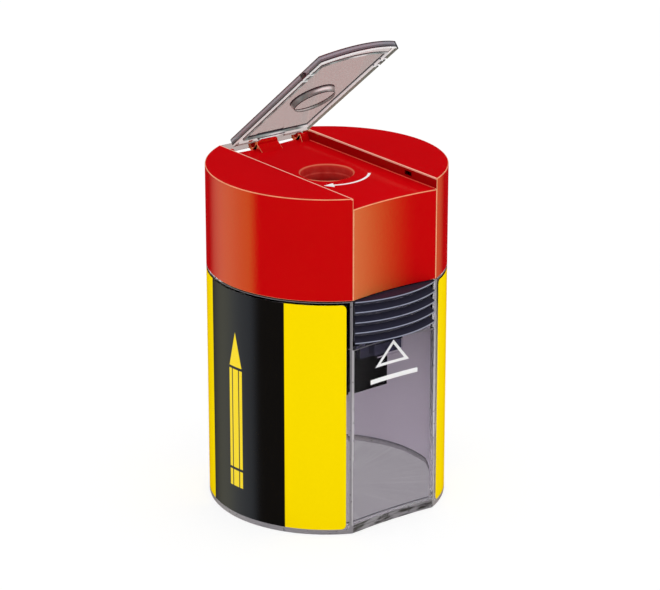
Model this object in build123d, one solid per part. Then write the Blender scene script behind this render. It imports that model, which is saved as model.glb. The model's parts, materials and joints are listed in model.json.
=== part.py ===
from build123d import *
import os
from math import asin, cos, degrees, radians, sin, sqrt, tan

# Pencil sharpener with a shavings tub, a pull-off cap and a hinged dust flap.
# Millimetres. The origin is the centre of the tub's underside, +Z is up and -Y is the front.

# Drum: the outline that the tub and the cap share
drum_radius = 20.5
notch_half = 8.75
notch_sag_top = 0.75
notch_sag_foot = 0.4

# Tub
tub_height = 41.8
tub_wall = 1.2
tub_floor = 1.2
tub_edge_round = 0.5
panel_drop = 8.6

# Printed labels on the tub
label_start_angle = 28.5
label_low = 1.0
label_margin_top = 0.5
label_thickness = 0.08
label_clearance = 0.03
label_corner = 0.8

# Cap
seam_gap = 0.2
cap_height = 17.6
cap_wall = 1.4
channel_depth = 1.9
channel_floor_thickness = 1.8
wing_top_thickness = 1.6
cap_edge_round = 0.35
pencil_radius = 4.1
hole_clearance = 0.25
hole_lip = 0.5
guide_wall = 2.05
guide_gap = 0.8
snap_y = -10.9
snap_length = 1.9
snap_height = 0.8
snap_low = 0.45
snap_recess = 0.4

# Flap and its hinge
flap_open_angle = 39.0
hinge_inset = 0.34
hinge_rise = 1.1
hinge_pin_radius = 0.75
hinge_clearance = 0.08
hinge_end_gap = 0.2
lug_wall = 0.65
lug_mouth = 0.5
lug_half = 2.2
lug_reach = 2.9
side_lug_width = 1.7
flap_gap = 0.75
flap_front_inset = 2.4
flap_back_gap = 2.5
flap_inset = 0.1
flap_plate = 0.8
flap_height = 1.5
flap_rim = 1.1
flap_back_rim = 1.9
flap_lip = 1.9
flap_edge_round = 0.25
flap_side_gap = 0.45
nub_reach = 0.5
slit_width = 0.4
plug_base_radius = 4.1
plug_end_radius = 3.7
plug_length = 1.2

# Carrier that hangs inside the cap and plugs into the tub
carrier_clearance = 0.3
carrier_cap_clearance = 0.1
carrier_skirt = 1.3
carrier_plug = 6.0
carrier_rise = 10.0
deck_rise = 3.2
deck_thickness = 2.0
tab_room = 0.25
deck_gap = 0.6

# Press tabs
tab_gap = 0.2
tab_side_gap = 0.3
ridge_count = 5
ridge_pitch = 1.8
ridge_depth = 0.9
ridge_flat = 0.3
leaf_half = 4.6
leaf_thickness = 1.2
leaf_hang = 3.6
tab_pivot_rise = 1.0
tab_pin_radius = 0.8
tab_pin_inset = 0.85
tab_pin_clearance = 0.08
ear_gap = 0.4
ear_wall = 0.9
nose_half = 2.7
nose_drop = 3.0
nose_height = 2.1
nose_reach = 1.56
nose_gap = 0.3
latch_margin = 0.15
latch_depth = 0.5

# Sharpener body and blade
block_half_top = 7.4
block_half_foot = 7.1
block_half_depth = 7.5
block_length = 27.2
block_clearance = 0.25
bore_clearance = 0.1
flange_overhang = 1.2
flange_thickness = 2.0
point_angle = 23.0
bore_run = 5.7
point_relief_radius = 0.5
seat_bite = 0.3
seat_drop = 3.2
seat_wall_x = 4.6
blade_thickness = 0.6
blade_width = 7.5
blade_length = 23.0
blade_edge_x = 0.35
blade_bevel = 0.45
blade_end_gap = 0.4
blade_seat_gap = 0.02
screw_x = -3.9
screw_along = 11.0
screw_radius = 1.25
screw_length = 5.0
screw_head_radius = 2.3
screw_head_height = 1.2
screw_slot_width = 0.6
screw_slot_depth = 0.6
screw_clearance = 0.08

# Places worked out from the sizes above
cap_low = tub_height + seam_gap
cap_top = cap_low + cap_height
channel_floor = cap_top - channel_depth
cavity_top = channel_floor - channel_floor_thickness
corner_y = sqrt(drum_radius**2 - notch_half**2)
hole_radius = pencil_radius + hole_clearance
bore_radius = pencil_radius + bore_clearance
panel_top = tub_height - panel_drop
panel_sag = notch_sag_foot + (notch_sag_top - notch_sag_foot) * panel_top / tub_height
panel_inside = corner_y - panel_sag - tub_wall
carrier_low = cap_low - carrier_plug
carrier_high = cap_low + carrier_rise
deck_low = cap_low + deck_rise
deck_top = deck_low + deck_thickness
guide_low = deck_top + flange_thickness + guide_gap
tab_back = panel_inside - nose_gap - nose_reach
tab_half_angle = degrees(asin((notch_half - tab_side_gap) / drum_radius))
tab_pivot_y = tab_back - leaf_thickness / 2
tab_pivot_z = deck_low + tab_pivot_rise
tab_pin_half = notch_half - tab_pin_inset
deck_front = tab_back - leaf_thickness - deck_gap
leaf_low = panel_top - leaf_hang
nose_low = panel_top - nose_drop
hinge_y = corner_y - hinge_inset
hinge_z = channel_floor + hinge_rise
lug_foot_front = hinge_y - lug_reach
flap_half = notch_half - flap_gap
flap_front_radius = drum_radius - flap_front_inset
flap_back = hinge_y - flap_back_gap
block_low = deck_top - block_length
cone_top = deck_top - bore_run
seat_top = deck_top - seat_drop
past = 1.0
touch = 0.01


def arc_notch(reach, sag):
    """Plan of a notch: a hollow arc between the two corners, open to the outside."""
    outer = -drum_radius - past
    arc = ThreePointArc((-notch_half, -reach), (0, sag - reach), (notch_half, -reach))
    rim = Polyline((notch_half, -reach), (notch_half, outer), (-notch_half, outer), (-notch_half, -reach))
    return make_face([arc, rim])


def notch_pair(radius, sag_low, sag_high, low, high):
    """Front and rear notch cutters whose hollow deepens from sag_low to sag_high going up."""
    reach = sqrt(radius**2 - notch_half**2)
    foot = Pos(0, 0, low) * arc_notch(reach, sag_low)
    head = Pos(0, 0, high) * arc_notch(reach, sag_high)
    upright = sag_low == sag_high
    front = extrude(foot, high - low) if upright else loft([foot, head], ruled=True)
    return [front, turned_about_z(front)]


def drum(radius, low, high, sag_low, sag_high):
    """Round drum with a hollow notch at the front and one at the rear."""
    solid = Pos(0, 0, (low + high) / 2) * Cylinder(radius, high - low)
    return solid - notch_pair(radius, sag_low, sag_high, low, high)


def upright_corners(shell):
    """Upright edges of a drum where its notches meet the round wall."""
    return shell.edges().filter_by(
        lambda e: abs(abs(e.center().X) - notch_half) < touch and abs(abs(e.center().Y) - corner_y) < touch)


def inner_sag(wall, sag):
    """Hollow of the notch on the inside of a wall that follows it."""
    return sqrt((drum_radius - wall) ** 2 - notch_half**2) - (corner_y - sag - wall)


def block(x_low, x_high, y_low, y_high, z_low, z_high):
    """Box between two corners."""
    middle = Pos((x_low + x_high) / 2, (y_low + y_high) / 2, (z_low + z_high) / 2)
    return middle * Box(x_high - x_low, y_high - y_low, z_high - z_low)


def rod_x(radius, x_low, x_high, y, z):
    """Round bar along X."""
    return Pos((x_low + x_high) / 2, y, z) * Rot(0, 90, 0) * Cylinder(radius, x_high - x_low)


def pair_x(solid):
    """A solid and its mirror image across the middle plane."""
    return [solid, mirror(solid, about=Plane.YZ)]


def turned_about_z(solid):
    """The same solid at the rear, half a turn about the drum's axis."""
    return Rot(0, 0, 180) * solid


def label_band(inner, outer, grow):
    """Band around the tub's right side with rounded corners, larger all round by grow."""
    low = label_low - grow
    high = tub_height - label_margin_top + grow
    start = label_start_angle - degrees(grow / drum_radius)
    section = Plane.XZ * Pos((inner + outer) / 2, (low + high) / 2) * Rectangle(outer - inner, high - low)
    band = Rot(0, 0, start - 90) * revolve(section, axis=Axis.Z, revolution_arc=180 - 2 * start)
    corners = band.edges().filter_by(lambda e: e.length < (outer - inner) * 1.5)
    return fillet(corners, label_corner + grow)


def make_tub():
    """Clear tub with press-panel notches, label pockets, tab openings and latch pockets."""
    shell = drum(drum_radius, 0, tub_height, notch_sag_foot, notch_sag_top)
    shell = fillet(shell.edges().group_by(Axis.Z)[0] + upright_corners(shell), tub_edge_round)
    hollow = drum(drum_radius - tub_wall, tub_floor, tub_height,
                  inner_sag(tub_wall, notch_sag_foot), inner_sag(tub_wall, notch_sag_top))
    shell -= hollow
    pocket = label_band(drum_radius - label_thickness - label_clearance, drum_radius + past, label_clearance)
    shell -= [pocket, turned_about_z(pocket)]
    reach = drum_radius + past
    shell -= block(-notch_half, notch_half, -reach, reach, panel_top, tub_height + past)
    latch_half = nose_half + latch_margin
    latch_reach = panel_inside + latch_depth
    return shell - block(-latch_half, latch_half, -latch_reach, latch_reach,
                         nose_low - latch_margin, nose_low + nose_height + latch_margin)


def make_label_right():
    """Printed film in the right-hand pocket, flush with the tub."""
    return label_band(drum_radius - label_thickness, drum_radius, 0)


def snap_recesses():
    """Shallow slots in the channel walls that face the flap's nubs."""
    low = channel_floor + snap_low
    slot = block(notch_half - past, notch_half + snap_recess,
                 snap_y - snap_length / 2, snap_y + snap_length / 2, low, low + snap_height)
    return pair_x(slot)


def hinge_lug(x_low, x_high, foot_front):
    """Open clip that leans back from the channel floor and holds the flap's bar."""
    clip = hinge_pin_radius + hinge_clearance + lug_wall
    lean = Polyline((foot_front, channel_floor), (hinge_y - clip, hinge_z), (hinge_y, hinge_z),
                    (hinge_y, hinge_z - clip), (foot_front + lug_wall, channel_floor - lug_wall), close=True)
    lug = Pos(x_low, 0, 0) * extrude(Plane.YZ * make_face(lean), x_high - x_low)
    lug += rod_x(clip, x_low, x_high, hinge_y, hinge_z)
    lug -= rod_x(hinge_pin_radius + hinge_clearance, x_low - past, x_high + past, hinge_y, hinge_z)
    above = hinge_z + lug_mouth
    return lug - block(x_low - past, x_high + past, 0, drum_radius + past, above, cap_top + past)


def cap_outside():
    """Notched drum with the flap's channel across its top and its edges rounded."""
    shell = drum(drum_radius, cap_low, cap_top, notch_sag_top, notch_sag_top)
    reach = drum_radius + past
    shell -= block(-notch_half, notch_half, -reach, reach, channel_floor, cap_top + past)
    crest = shell.edges().filter_by(lambda e: e.center().Z > cap_top - touch)
    brow = shell.edges().filter_by(
        lambda e: abs(e.center().Z - channel_floor) < touch and abs(e.center().X) < touch)
    return fillet(crest + brow, cap_edge_round)


def make_cap():
    """Cap shell with its pencil hole, guide tube, snap slots and hinge lugs."""
    shell = cap_outside()
    inside = drum_radius - cap_wall
    sag = inner_sag(cap_wall, notch_sag_top)
    shell -= drum(inside, cap_low, cavity_top, sag, sag)
    wing_room = drum(inside, cavity_top, cap_top - wing_top_thickness, sag, sag)
    middle = notch_half + cap_wall
    shell -= wing_room - block(-middle, middle, -drum_radius, drum_radius, cavity_top, cap_top)
    guide = Cylinder(hole_radius + guide_wall, cavity_top - guide_low)
    shell += Pos(0, 0, (guide_low + cavity_top) / 2) * guide
    shell -= Pos(0, 0, (guide_low + channel_floor) / 2) * Cylinder(hole_radius, channel_floor - guide_low)
    lip = shell.edges().filter_by(GeomType.CIRCLE).filter_by(
        lambda e: abs(e.radius - hole_radius) < touch and e.center().Z > channel_floor - touch)
    shell = fillet(lip, hole_lip)
    shell -= snap_recesses()
    shell += hinge_lug(-lug_half, lug_half, lug_foot_front)
    shell += pair_x(hinge_lug(notch_half - side_lug_width, notch_half, flap_back + flap_side_gap))
    return shell


def closed_flap_plate():
    """Flap plate with a rim all round its underside, lying closed in the channel."""
    top = cap_top - flap_inset
    side_y = sqrt(flap_front_radius**2 - flap_half**2)
    front = ThreePointArc((-flap_half, -side_y), (0, -flap_front_radius), (flap_half, -side_y))
    sides = Polyline((flap_half, -side_y), (flap_half, flap_back), (-flap_half, flap_back),
                     (-flap_half, -side_y))
    plate = Pos(0, 0, top - flap_height) * extrude(make_face([front, sides]), flap_height)
    plate = fillet(plate.edges().group_by(Axis.Z)[-1], flap_edge_round)
    inner_half = flap_half - flap_rim
    inner_radius = flap_front_radius - flap_lip
    inner_y = sqrt(inner_radius**2 - inner_half**2)
    inner_back = flap_back - flap_back_rim
    lip = ThreePointArc((-inner_half, -inner_y), (0, -inner_radius), (inner_half, -inner_y))
    walls = Polyline((inner_half, -inner_y), (inner_half, inner_back), (-inner_half, inner_back),
                     (-inner_half, -inner_y))
    recess = extrude(make_face([lip, walls]), flap_height - flap_plate)
    return plate - Pos(0, 0, top - flap_height) * recess


def flap_snaps():
    """Nubs on the flap's edges, and the slits that let them give."""
    low = channel_floor + snap_low
    nub = block(flap_half - past, flap_half + nub_reach,
                snap_y - snap_length / 2 + slit_width, snap_y + snap_length / 2 - slit_width,
                low + slit_width / 2, low + snap_height)
    bottom = cap_top - flap_inset - flap_height
    slits = [block(flap_half - flap_rim - slit_width, flap_half + past, y - slit_width, y,
                   bottom - past, cap_top - flap_inset - flap_plate)
             for y in (snap_y - snap_length / 2, snap_y + snap_length / 2 + slit_width)]
    return nub, slits


def flap_plug():
    """Tapered plug that closes the pencil hole."""
    base = cap_top - flap_inset - flap_plate
    return Pos(0, 0, base - plug_length / 2) * Cone(plug_end_radius, plug_base_radius, plug_length)


def make_flap():
    """Clear flap with its hinge bar, turned open about that bar."""
    flap = closed_flap_plate()
    nub, slits = flap_snaps()
    for slit in slits:
        flap -= pair_x(slit)
    flap += pair_x(nub)
    flap += flap_plug()
    bottom = cap_top - flap_inset - flap_height
    lug_room = lug_half + flap_side_gap
    flap -= block(-lug_room, lug_room, lug_foot_front - flap_side_gap, flap_back + past,
                  bottom - past, cap_top)
    arm_out = notch_half - side_lug_width - flap_side_gap
    arm = block(lug_room, arm_out, flap_back - flap_rim, hinge_y, hinge_z - hinge_pin_radius / 2,
                cap_top - flap_inset - flap_edge_round)
    flap += pair_x(arm)
    bar_half = notch_half - hinge_end_gap
    flap += rod_x(hinge_pin_radius, -bar_half, bar_half, hinge_y, hinge_z)
    hinge = Pos(0, hinge_y, hinge_z)
    return hinge * Rot(-flap_open_angle, 0, 0) * hinge.inverse() * flap


def make_carrier():
    """Skirt that plugs into the tub, the deck that holds the block, and the tabs' ears."""
    skirt_radius = drum_radius - max(tub_wall + carrier_clearance, cap_wall + carrier_cap_clearance)
    skirt_height = carrier_high - carrier_low
    skirt = Pos(0, 0, (carrier_low + carrier_high) / 2) * (
        Cylinder(skirt_radius, skirt_height) - Cylinder(skirt_radius - carrier_skirt, skirt_height))
    deck = Pos(0, 0, (deck_low + deck_top) / 2) * Cylinder(skirt_radius - carrier_skirt / 2, deck_thickness)
    body = skirt + deck
    reach = drum_radius + past
    opening = notch_half + tab_room
    body -= block(-opening, opening, -reach, -deck_front, 0, carrier_high + past)
    body -= block(-opening, opening, deck_front, reach, 0, carrier_high + past)
    room_x = block_half_top + block_clearance
    room_y = block_half_depth + block_clearance
    body -= block(-room_x, room_x, -room_y, room_y, deck_low - past, deck_top + past)
    ear_front = tab_pivot_y + tab_pin_radius + tab_pin_clearance + ear_wall
    ear_low = tab_pivot_z - tab_pin_radius - tab_pin_clearance - ear_wall
    ear_high = tab_pivot_z + tab_pin_radius + tab_pin_clearance + ear_wall
    ear = block(leaf_half + ear_gap, tab_pin_half + ear_gap, -ear_front, -deck_front + past,
                ear_low, ear_high)
    socket = rod_x(tab_pin_radius + tab_pin_clearance, leaf_half, tab_pin_half + tab_pin_clearance,
                   -tab_pivot_y, tab_pivot_z)
    ears = pair_x(ear - socket)
    for solid in ears:
        body += [solid, turned_about_z(solid)]
    for cut in pair_x(socket):
        body -= [cut, turned_about_z(cut)]
    return body


def make_front_tab():
    """Ribbed press pad on a leaf with a latch nose, hung on a pin in the carrier's ears."""
    top = cap_low - tab_gap
    half_flat = ridge_flat / 2
    inside = tab_back / 2
    outline = [(inside, top)]
    for number in range(ridge_count):
        crest = top - half_flat - number * ridge_pitch
        if number:
            outline.append((drum_radius - ridge_depth, crest + ridge_pitch / 2))
        outline += [(drum_radius, crest + half_flat), (drum_radius, crest - half_flat)]
    outline.append((inside, outline[-1][1]))
    section = Plane.XZ * make_face(Polyline(*outline, close=True))
    pad = revolve(section, axis=Axis.Z, revolution_arc=2 * tab_half_angle)
    pad = Rot(0, 0, -90 - tab_half_angle) * pad
    pad -= block(-drum_radius, drum_radius, -tab_back, drum_radius, 0, cap_top)
    leaf = block(-leaf_half, leaf_half, -tab_back, leaf_thickness - tab_back, leaf_low, tab_pivot_z)
    pin = rod_x(tab_pin_radius, -tab_pin_half, tab_pin_half, -tab_pivot_y, tab_pivot_z)
    nose = block(-nose_half, nose_half, nose_gap - panel_inside, leaf_thickness - tab_back,
                 nose_low, nose_low + nose_height)
    return pad + leaf + pin + nose


def seat_plane():
    """Plane of the blade's seat: along the cone's rear side, a little inside it, its y down the slope."""
    lean = point_angle / 2
    top_of_cone = (0, bore_radius - seat_bite, cone_top)
    return Plane(origin=top_of_cone, x_dir=(1, 0, 0), z_dir=(0, cos(radians(lean)), -sin(radians(lean))))


def make_block():
    """Sharpener block: pencil bore and cone, a slanted blade seat and a mounting flange."""
    outline = Polyline((-block_half_top, deck_top), (block_half_top, deck_top), (block_half_foot, block_low),
                       (-block_half_foot, block_low), close=True)
    trunk = extrude(Plane.XZ * make_face(outline), block_half_depth, both=True)
    flange_x = block_half_top + flange_overhang
    flange_y = block_half_depth + flange_overhang
    body = trunk + block(-flange_x, flange_x, -flange_y, flange_y, deck_top, deck_top + flange_thickness)
    bore_height = deck_top + flange_thickness - cone_top
    body -= Pos(0, 0, cone_top + bore_height / 2) * Cylinder(bore_radius, bore_height)
    cone_length = (bore_radius - point_relief_radius) / tan(radians(point_angle / 2))
    body -= Pos(0, 0, cone_top - cone_length / 2) * Cone(point_relief_radius, bore_radius, cone_length)
    body -= Pos(0, 0, cone_top / 2) * Cylinder(point_relief_radius, cone_top)
    slope = tan(radians(point_angle / 2))
    y_at_cone = bore_radius - seat_bite
    foot = block_low - past
    room = Polyline((y_at_cone + (seat_top - cone_top) * slope, seat_top), (drum_radius, seat_top),
                    (drum_radius, foot), (y_at_cone + (foot - cone_top) * slope, foot), close=True)
    width = seat_wall_x + block_half_top + past
    body -= Pos(seat_wall_x - width, 0, 0) * extrude(Plane.YZ * make_face(room), width)
    screw_room = screw_length + past
    screw_hole = Pos(0, 0, -screw_room / 2) * Cylinder(screw_radius + screw_clearance, screw_room)
    return body - screw_place() * screw_hole


def screw_place():
    """Frame of the screw: on the blade's seat, its axis square to it."""
    return Location(seat_plane()) * Pos(screw_x, screw_along, 0)


def blade_top_along():
    """Distance of the blade's upper end above the cone's top, along the seat."""
    return (seat_top - cone_top) / cos(radians(point_angle / 2)) - blade_end_gap


def make_blade():
    """Flat blade with a ground cutting edge and a screw hole, lying on its seat."""
    edge_low = blade_edge_x - blade_bevel
    back = blade_edge_x - blade_width
    section = Polyline((back, 0), (blade_edge_x, 0), (edge_low, blade_thickness), (back, blade_thickness),
                       close=True)
    bar = extrude(Plane.XZ * make_face(section), -blade_length)
    lifted = Pos(0, -blade_top_along(), blade_seat_gap)
    hole = Pos(screw_x, screw_along, 0) * Cylinder(screw_radius + 2 * screw_clearance, blade_length)
    return Location(seat_plane()) * (lifted * bar - hole)


def make_screw():
    """Slotted screw that holds the blade."""
    under = blade_seat_gap + blade_thickness + blade_seat_gap
    shank = Pos(0, 0, (under - screw_length) / 2) * Cylinder(screw_radius, under + screw_length)
    head = Pos(0, 0, under + screw_head_height / 2) * Cylinder(screw_head_radius, screw_head_height)
    slot = Pos(0, 0, under + screw_head_height - screw_slot_depth / 2) * Box(
        screw_slot_width, 2 * screw_head_radius + past, screw_slot_depth)
    return screw_place() * (shank + head - slot)


def main():
    """Write one file for each piece."""
    label_right = make_label_right()
    front_tab = make_front_tab()
    pieces = {
        "tub": make_tub(),
        "label_right": label_right,
        "label_left": turned_about_z(label_right),
        "cap": make_cap(),
        "flap": make_flap(),
        "carrier": make_carrier(),
        "press_tab_front": front_tab,
        "press_tab_rear": turned_about_z(front_tab),
        "sharpener_block": make_block(),
        "blade": make_blade(),
        "blade_screw": make_screw(),
    }
    os.makedirs("parts", exist_ok=True)
    for name, solid in pieces.items():
        export_step(solid, f"parts/{name}.step")


main()
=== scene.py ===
import json
from functools import cached_property
from math import acos, asin, cos, pi, radians, sin, sqrt

import bmesh
import bpy
import numpy as np
from bpy.props import FloatProperty, FloatVectorProperty, IntProperty, PointerProperty
from bpy.types import Operator, Panel, PropertyGroup
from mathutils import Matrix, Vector


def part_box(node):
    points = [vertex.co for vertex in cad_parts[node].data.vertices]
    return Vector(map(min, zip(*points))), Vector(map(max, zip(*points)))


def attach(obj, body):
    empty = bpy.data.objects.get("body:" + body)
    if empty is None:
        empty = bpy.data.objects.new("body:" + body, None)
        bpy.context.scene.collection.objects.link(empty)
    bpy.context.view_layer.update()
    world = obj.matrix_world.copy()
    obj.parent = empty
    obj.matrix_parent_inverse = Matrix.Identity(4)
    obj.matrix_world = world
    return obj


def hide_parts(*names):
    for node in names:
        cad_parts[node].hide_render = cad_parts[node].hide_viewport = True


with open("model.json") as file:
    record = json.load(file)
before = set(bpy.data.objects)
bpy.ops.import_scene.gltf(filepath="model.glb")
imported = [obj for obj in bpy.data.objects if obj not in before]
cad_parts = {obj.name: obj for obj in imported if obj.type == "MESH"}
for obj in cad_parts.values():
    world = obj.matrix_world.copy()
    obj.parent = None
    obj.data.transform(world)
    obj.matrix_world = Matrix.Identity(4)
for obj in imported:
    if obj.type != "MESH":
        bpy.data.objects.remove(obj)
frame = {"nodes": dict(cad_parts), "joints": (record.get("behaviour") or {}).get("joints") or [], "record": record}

bl_info = {
    "name": "Tub Pencil Sharpener",
    "version": (1, 0, 0),
    "blender": (4, 5, 0),
    "location": "View3D > Sidebar > Sharpener",
    "description": "Builds the visible pieces of a round tub pencil sharpener on its packed frame",
    "category": "Add Mesh",
}

WHITE = (1.0, 1.0, 1.0, 1.0)
# A millimetre in metres, and how near points are joined or taken to lie together
MM = 0.001
WELD = 1e-7
TINY = 1e-6
# Least angle between the faces at a sharp edge, and the steps in which such an edge is rounded
SHARP_ANGLE = radians(32)
EDGE_STEPS = 3
# Camera: width of its sensor in millimetres, and where it starts to see, in metres
SENSOR = 36.0
CLIP_START = 0.01
# Part of a face's direction along an axis: from FACING on it looks that way, below UPRIGHT it stands upright
# and below ACROSS it lies square to the axis
FACING, UPRIGHT, ACROSS = 0.9, 0.6, 0.1
# Painted highlight line along the channel's upper edges, in millimetres: its reach on the left and the right, and
# its fade
WING_HIGHLIGHT_LEFT, WING_HIGHLIGHT_RIGHT, WING_HIGHLIGHT_SOFT = 0.26, 0.12, 0.08
# Painted shade on the channel's walls: their tone against the cap's red
WALL_SHADE = 0.56
# Length of the printed pencil's tip over its half width, and the soft half width of the stripes' borders
PENCIL_SLOPE = 4
STRIPE_SOFT = radians(0.12)
# Half the width of the turning arrow's head over its length
HEAD_SHARE = 0.6
# Where the flap's flat face ends inside its outline, over the rounding of its edge
FACE_SHARE = 1.3

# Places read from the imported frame, in metres
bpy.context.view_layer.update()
TUB_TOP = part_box("tub")[1].z
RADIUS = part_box("tub")[1].x
CAP_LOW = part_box("cap")[0].z
CAP_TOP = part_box("cap")[1].z
CORNER_Y = -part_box("cap")[0].y
NOTCH_HALF = sqrt(RADIUS**2 - CORNER_Y**2)
LABEL_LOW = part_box("label_left")[0].z
LABEL_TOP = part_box("label_left")[1].z
TAB_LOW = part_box("press_tab_front")[0].z
PAD_RADIUS = -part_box("press_tab_front")[0].y
JOINTS = {joint["name"]: joint for joint in frame["joints"]}
HINGE_Y, HINGE_Z = JOINTS["flap_hinge"]["pos_m"][1:]
PIVOT_Y, PIVOT_Z = JOINTS["front_press"]["pos_m"][1:]
OPEN_ANGLE = radians(-JOINTS["flap_hinge"]["range_deg"][0])
BORE = next(mount for mount in frame["record"]["mounts"] if mount["name"] == "pencil_bore")
HOLE_RADIUS = BORE["dims"]["r_mm"] * MM
GUIDE_LOW = BORE["pos_m"][2] - BORE["dims"]["length_mm"] * MM / 2


def length(title, note, millimetres):
    """A length property, its default given in millimetres."""
    return FloatProperty(name=title, description=note, default=millimetres * MM, precision=5,
                         subtype="DISTANCE", unit="LENGTH")


def angle(title, note, turn):
    """An angle property, its default given in degrees."""
    return FloatProperty(name=title, description=note, default=radians(turn),
                         subtype="ANGLE", unit="ROTATION")


def level(title, note, value):
    """A plain number property."""
    return FloatProperty(name=title, description=note, default=value)


def colour(title, note, red, green, blue):
    """A colour property, its default given as linear light."""
    return FloatVectorProperty(name=title, description=note, default=(red, green, blue, 1.0), size=4,
                               min=0.0, max=1.0, subtype="COLOR")


class TubSettings(PropertyGroup):
    """Sizes of the clear shavings tub."""
    wall: length("Wall", "Thickness of the tub's wall", 1.2)
    floor: length("Floor", "Thickness of the tub's floor", 1.2)
    panel_drop: length("Panel drop", "How far the press panel ends below the rim", 8.6)
    hollow_top: length("Hollow at the rim", "Depth of the notch at the tub's rim and on the cap", 0.75)
    hollow_foot: length("Hollow at the foot", "Depth of the notch at the tub's foot", 0.4)
    edge: length("Edge", "Rounding of the outer edges", 0.5)
    foot_band: length("Foot band", "Height of the streaked band along a panel's foot", 1.7)
    inner_round: length("Inner round", "Rounding between the floor and the wall inside", 0.6)
    pocket_depth: length("Pocket depth", "Depth of the label's pocket", 0.11)
    pocket_margin: length("Pocket margin", "Gap between a label and its pocket", 0.03)
    latch_half: length("Latch half width", "Half the width of the latch pocket", 2.85)
    latch_drop: length("Latch drop", "Latch pocket's foot below the panel's top", 3.15)
    latch_height: length("Latch height", "Height of the latch pocket", 2.4)
    latch_depth: length("Latch depth", "Depth of the latch pocket", 0.5)


class LabelSettings(PropertyGroup):
    """Sizes of the printed labels."""
    start: angle("Start", "Angle from the front at which a label starts", 28.5)
    black_start: angle("Black start", "Angle at which the black stripe starts", 57.7)
    black_end: angle("Black end", "Angle at which the black stripe ends", 107.1)
    pencil_place: angle("Pencil place", "Angle at which the printed pencil stands", 86)
    pencil_width: length("Pencil width", "Width of the printed pencil", 3.2)
    pencil_low: length("Pencil foot", "Height of the printed pencil's foot", 6.0)
    pencil_tip: length("Pencil tip", "Height of the printed pencil's tip", 34.0)
    corner: length("Corner", "Rounding of a label's corners", 0.8)
    thickness: length("Thickness", "Thickness of the film", 0.08)


class CapSettings(PropertyGroup):
    """Sizes of the cap."""
    wall: length("Wall", "Thickness of the cap's wall", 1.4)
    channel_depth: length("Channel depth", "Depth of the flap's channel", 1.9)
    channel_floor: length("Channel floor", "Thickness of the channel's floor", 1.8)
    lip: length("Hole lip", "Rounding of the pencil hole's lip", 0.5)
    guide_wall: length("Guide wall", "Wall of the tube that guides the pencil", 2.05)
    snap_y: length("Snap place", "Distance of the snap slots in front of the hole", 10.9)
    snap_length: length("Snap length", "Length of a snap slot", 1.9)
    snap_rise: length("Snap rise", "Height of a snap slot above the channel's floor", 0.45)
    snap_height: length("Snap height", "Height of a snap slot", 0.8)
    snap_depth: length("Snap depth", "Depth of a snap slot", 0.9)
    edge: length("Edge", "Rounding of the outer edges", 0.24)
    lug_half: length("Lug half width", "Half the width of the middle hinge lug", 2.2)
    side_lug: length("Side lug width", "Width of each side hinge lug", 1.7)
    lug_wall: length("Lug wall", "Wall of a hinge lug's clip", 0.65)
    lug_bore: length("Lug bore", "Radius of a clip's bore", 0.83)
    lug_mouth: length("Lug mouth", "Height of a clip's open mouth above the hinge's axis", 0.5)
    lug_reach: length("Lug reach", "How far the middle lug's foot stands before the hinge", 2.9)
    side_lug_reach: length("Side lug reach", "How far a side lug's foot stands before the hinge", 2.05)
    side_lug_front: length("Side lug front", "Height of a side clip's front end above the hinge's axis", 0.1)
    side_lug_rear: length("Side lug rear", "Height of a side clip's rear end above the hinge's axis", -0.4)
    lug_edge: length("Lug edge", "Rounding of a lug's edges", 0.12)


class FlapSettings(PropertyGroup):
    """Sizes of the clear flap, as it lies shut."""
    half: length("Half width", "Half the flap's width", 8.0)
    front: length("Front radius", "Radius of the flap's round front", 18.1)
    back_gap: length("Back gap", "Distance of the plate's back edge before the hinge", 2.5)
    inset: length("Inset", "Depth of the shut flap below the cap's top", 0.1)
    height: length("Height", "Height of the flap's rim", 1.5)
    plate: length("Plate", "Thickness of the plate", 0.8)
    rim: length("Rim", "Width of the side rims", 1.1)
    back_rim: length("Back rim", "Width of the back rim", 1.9)
    front_lip: length("Front lip", "Width of the front rim", 1.9)
    edge: length("Edge", "Rounding of the upper edge", 0.25)
    slit: length("Slit", "Width of the slits beside the snap nubs", 0.4)
    nub: length("Nub", "How far a snap nub stands out", 0.5)
    plug_base: length("Plug base", "Radius of the plug at the plate", 4.1)
    plug_end: length("Plug end", "Radius of the plug at its end", 3.7)
    plug_length: length("Plug length", "Length of the plug", 1.2)
    bar: length("Hinge bar", "Radius of the hinge bar", 0.75)
    bar_half: length("Hinge bar half", "Half the length of the hinge bar", 8.55)
    lug_room: length("Lug room", "Half the width of the gap for the middle lug", 2.65)
    lug_cut: length("Lug cut", "Depth of the gap for the middle lug in the plate", 0.85)
    arm_end: length("Arm end", "Distance of an arm's outer side from the middle", 6.6)


class TabSettings(PropertyGroup):
    """Sizes of the press tabs."""
    ridges: IntProperty(name="Ridges", description="Number of ridges on a pad", default=5, min=2)
    pitch: length("Pitch", "Distance from ridge to ridge", 1.8)
    depth: length("Depth", "Depth of the valleys", 0.9)
    crest: length("Crest", "Width of a ridge's crest", 0.3)
    half_width: length("Half width", "Half the width of a pad", 8.45)
    leaf_half: length("Leaf half width", "Half the width of the leaf", 4.6)
    leaf: length("Leaf", "Thickness of the leaf", 1.2)
    pin: length("Pin", "Radius of the pivot pin", 0.8)
    pin_half: length("Pin half", "Half the length of the pivot pin", 7.9)
    nose_half: length("Nose half width", "Half the width of the latch nose", 2.7)
    nose_rise: length("Nose rise", "Height of the nose's foot above the leaf's end", 0.6)
    nose_height: length("Nose height", "Height of the latch nose", 2.1)
    nose_reach: length("Nose reach", "How far the nose stands out from the leaf", 1.56)


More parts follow.
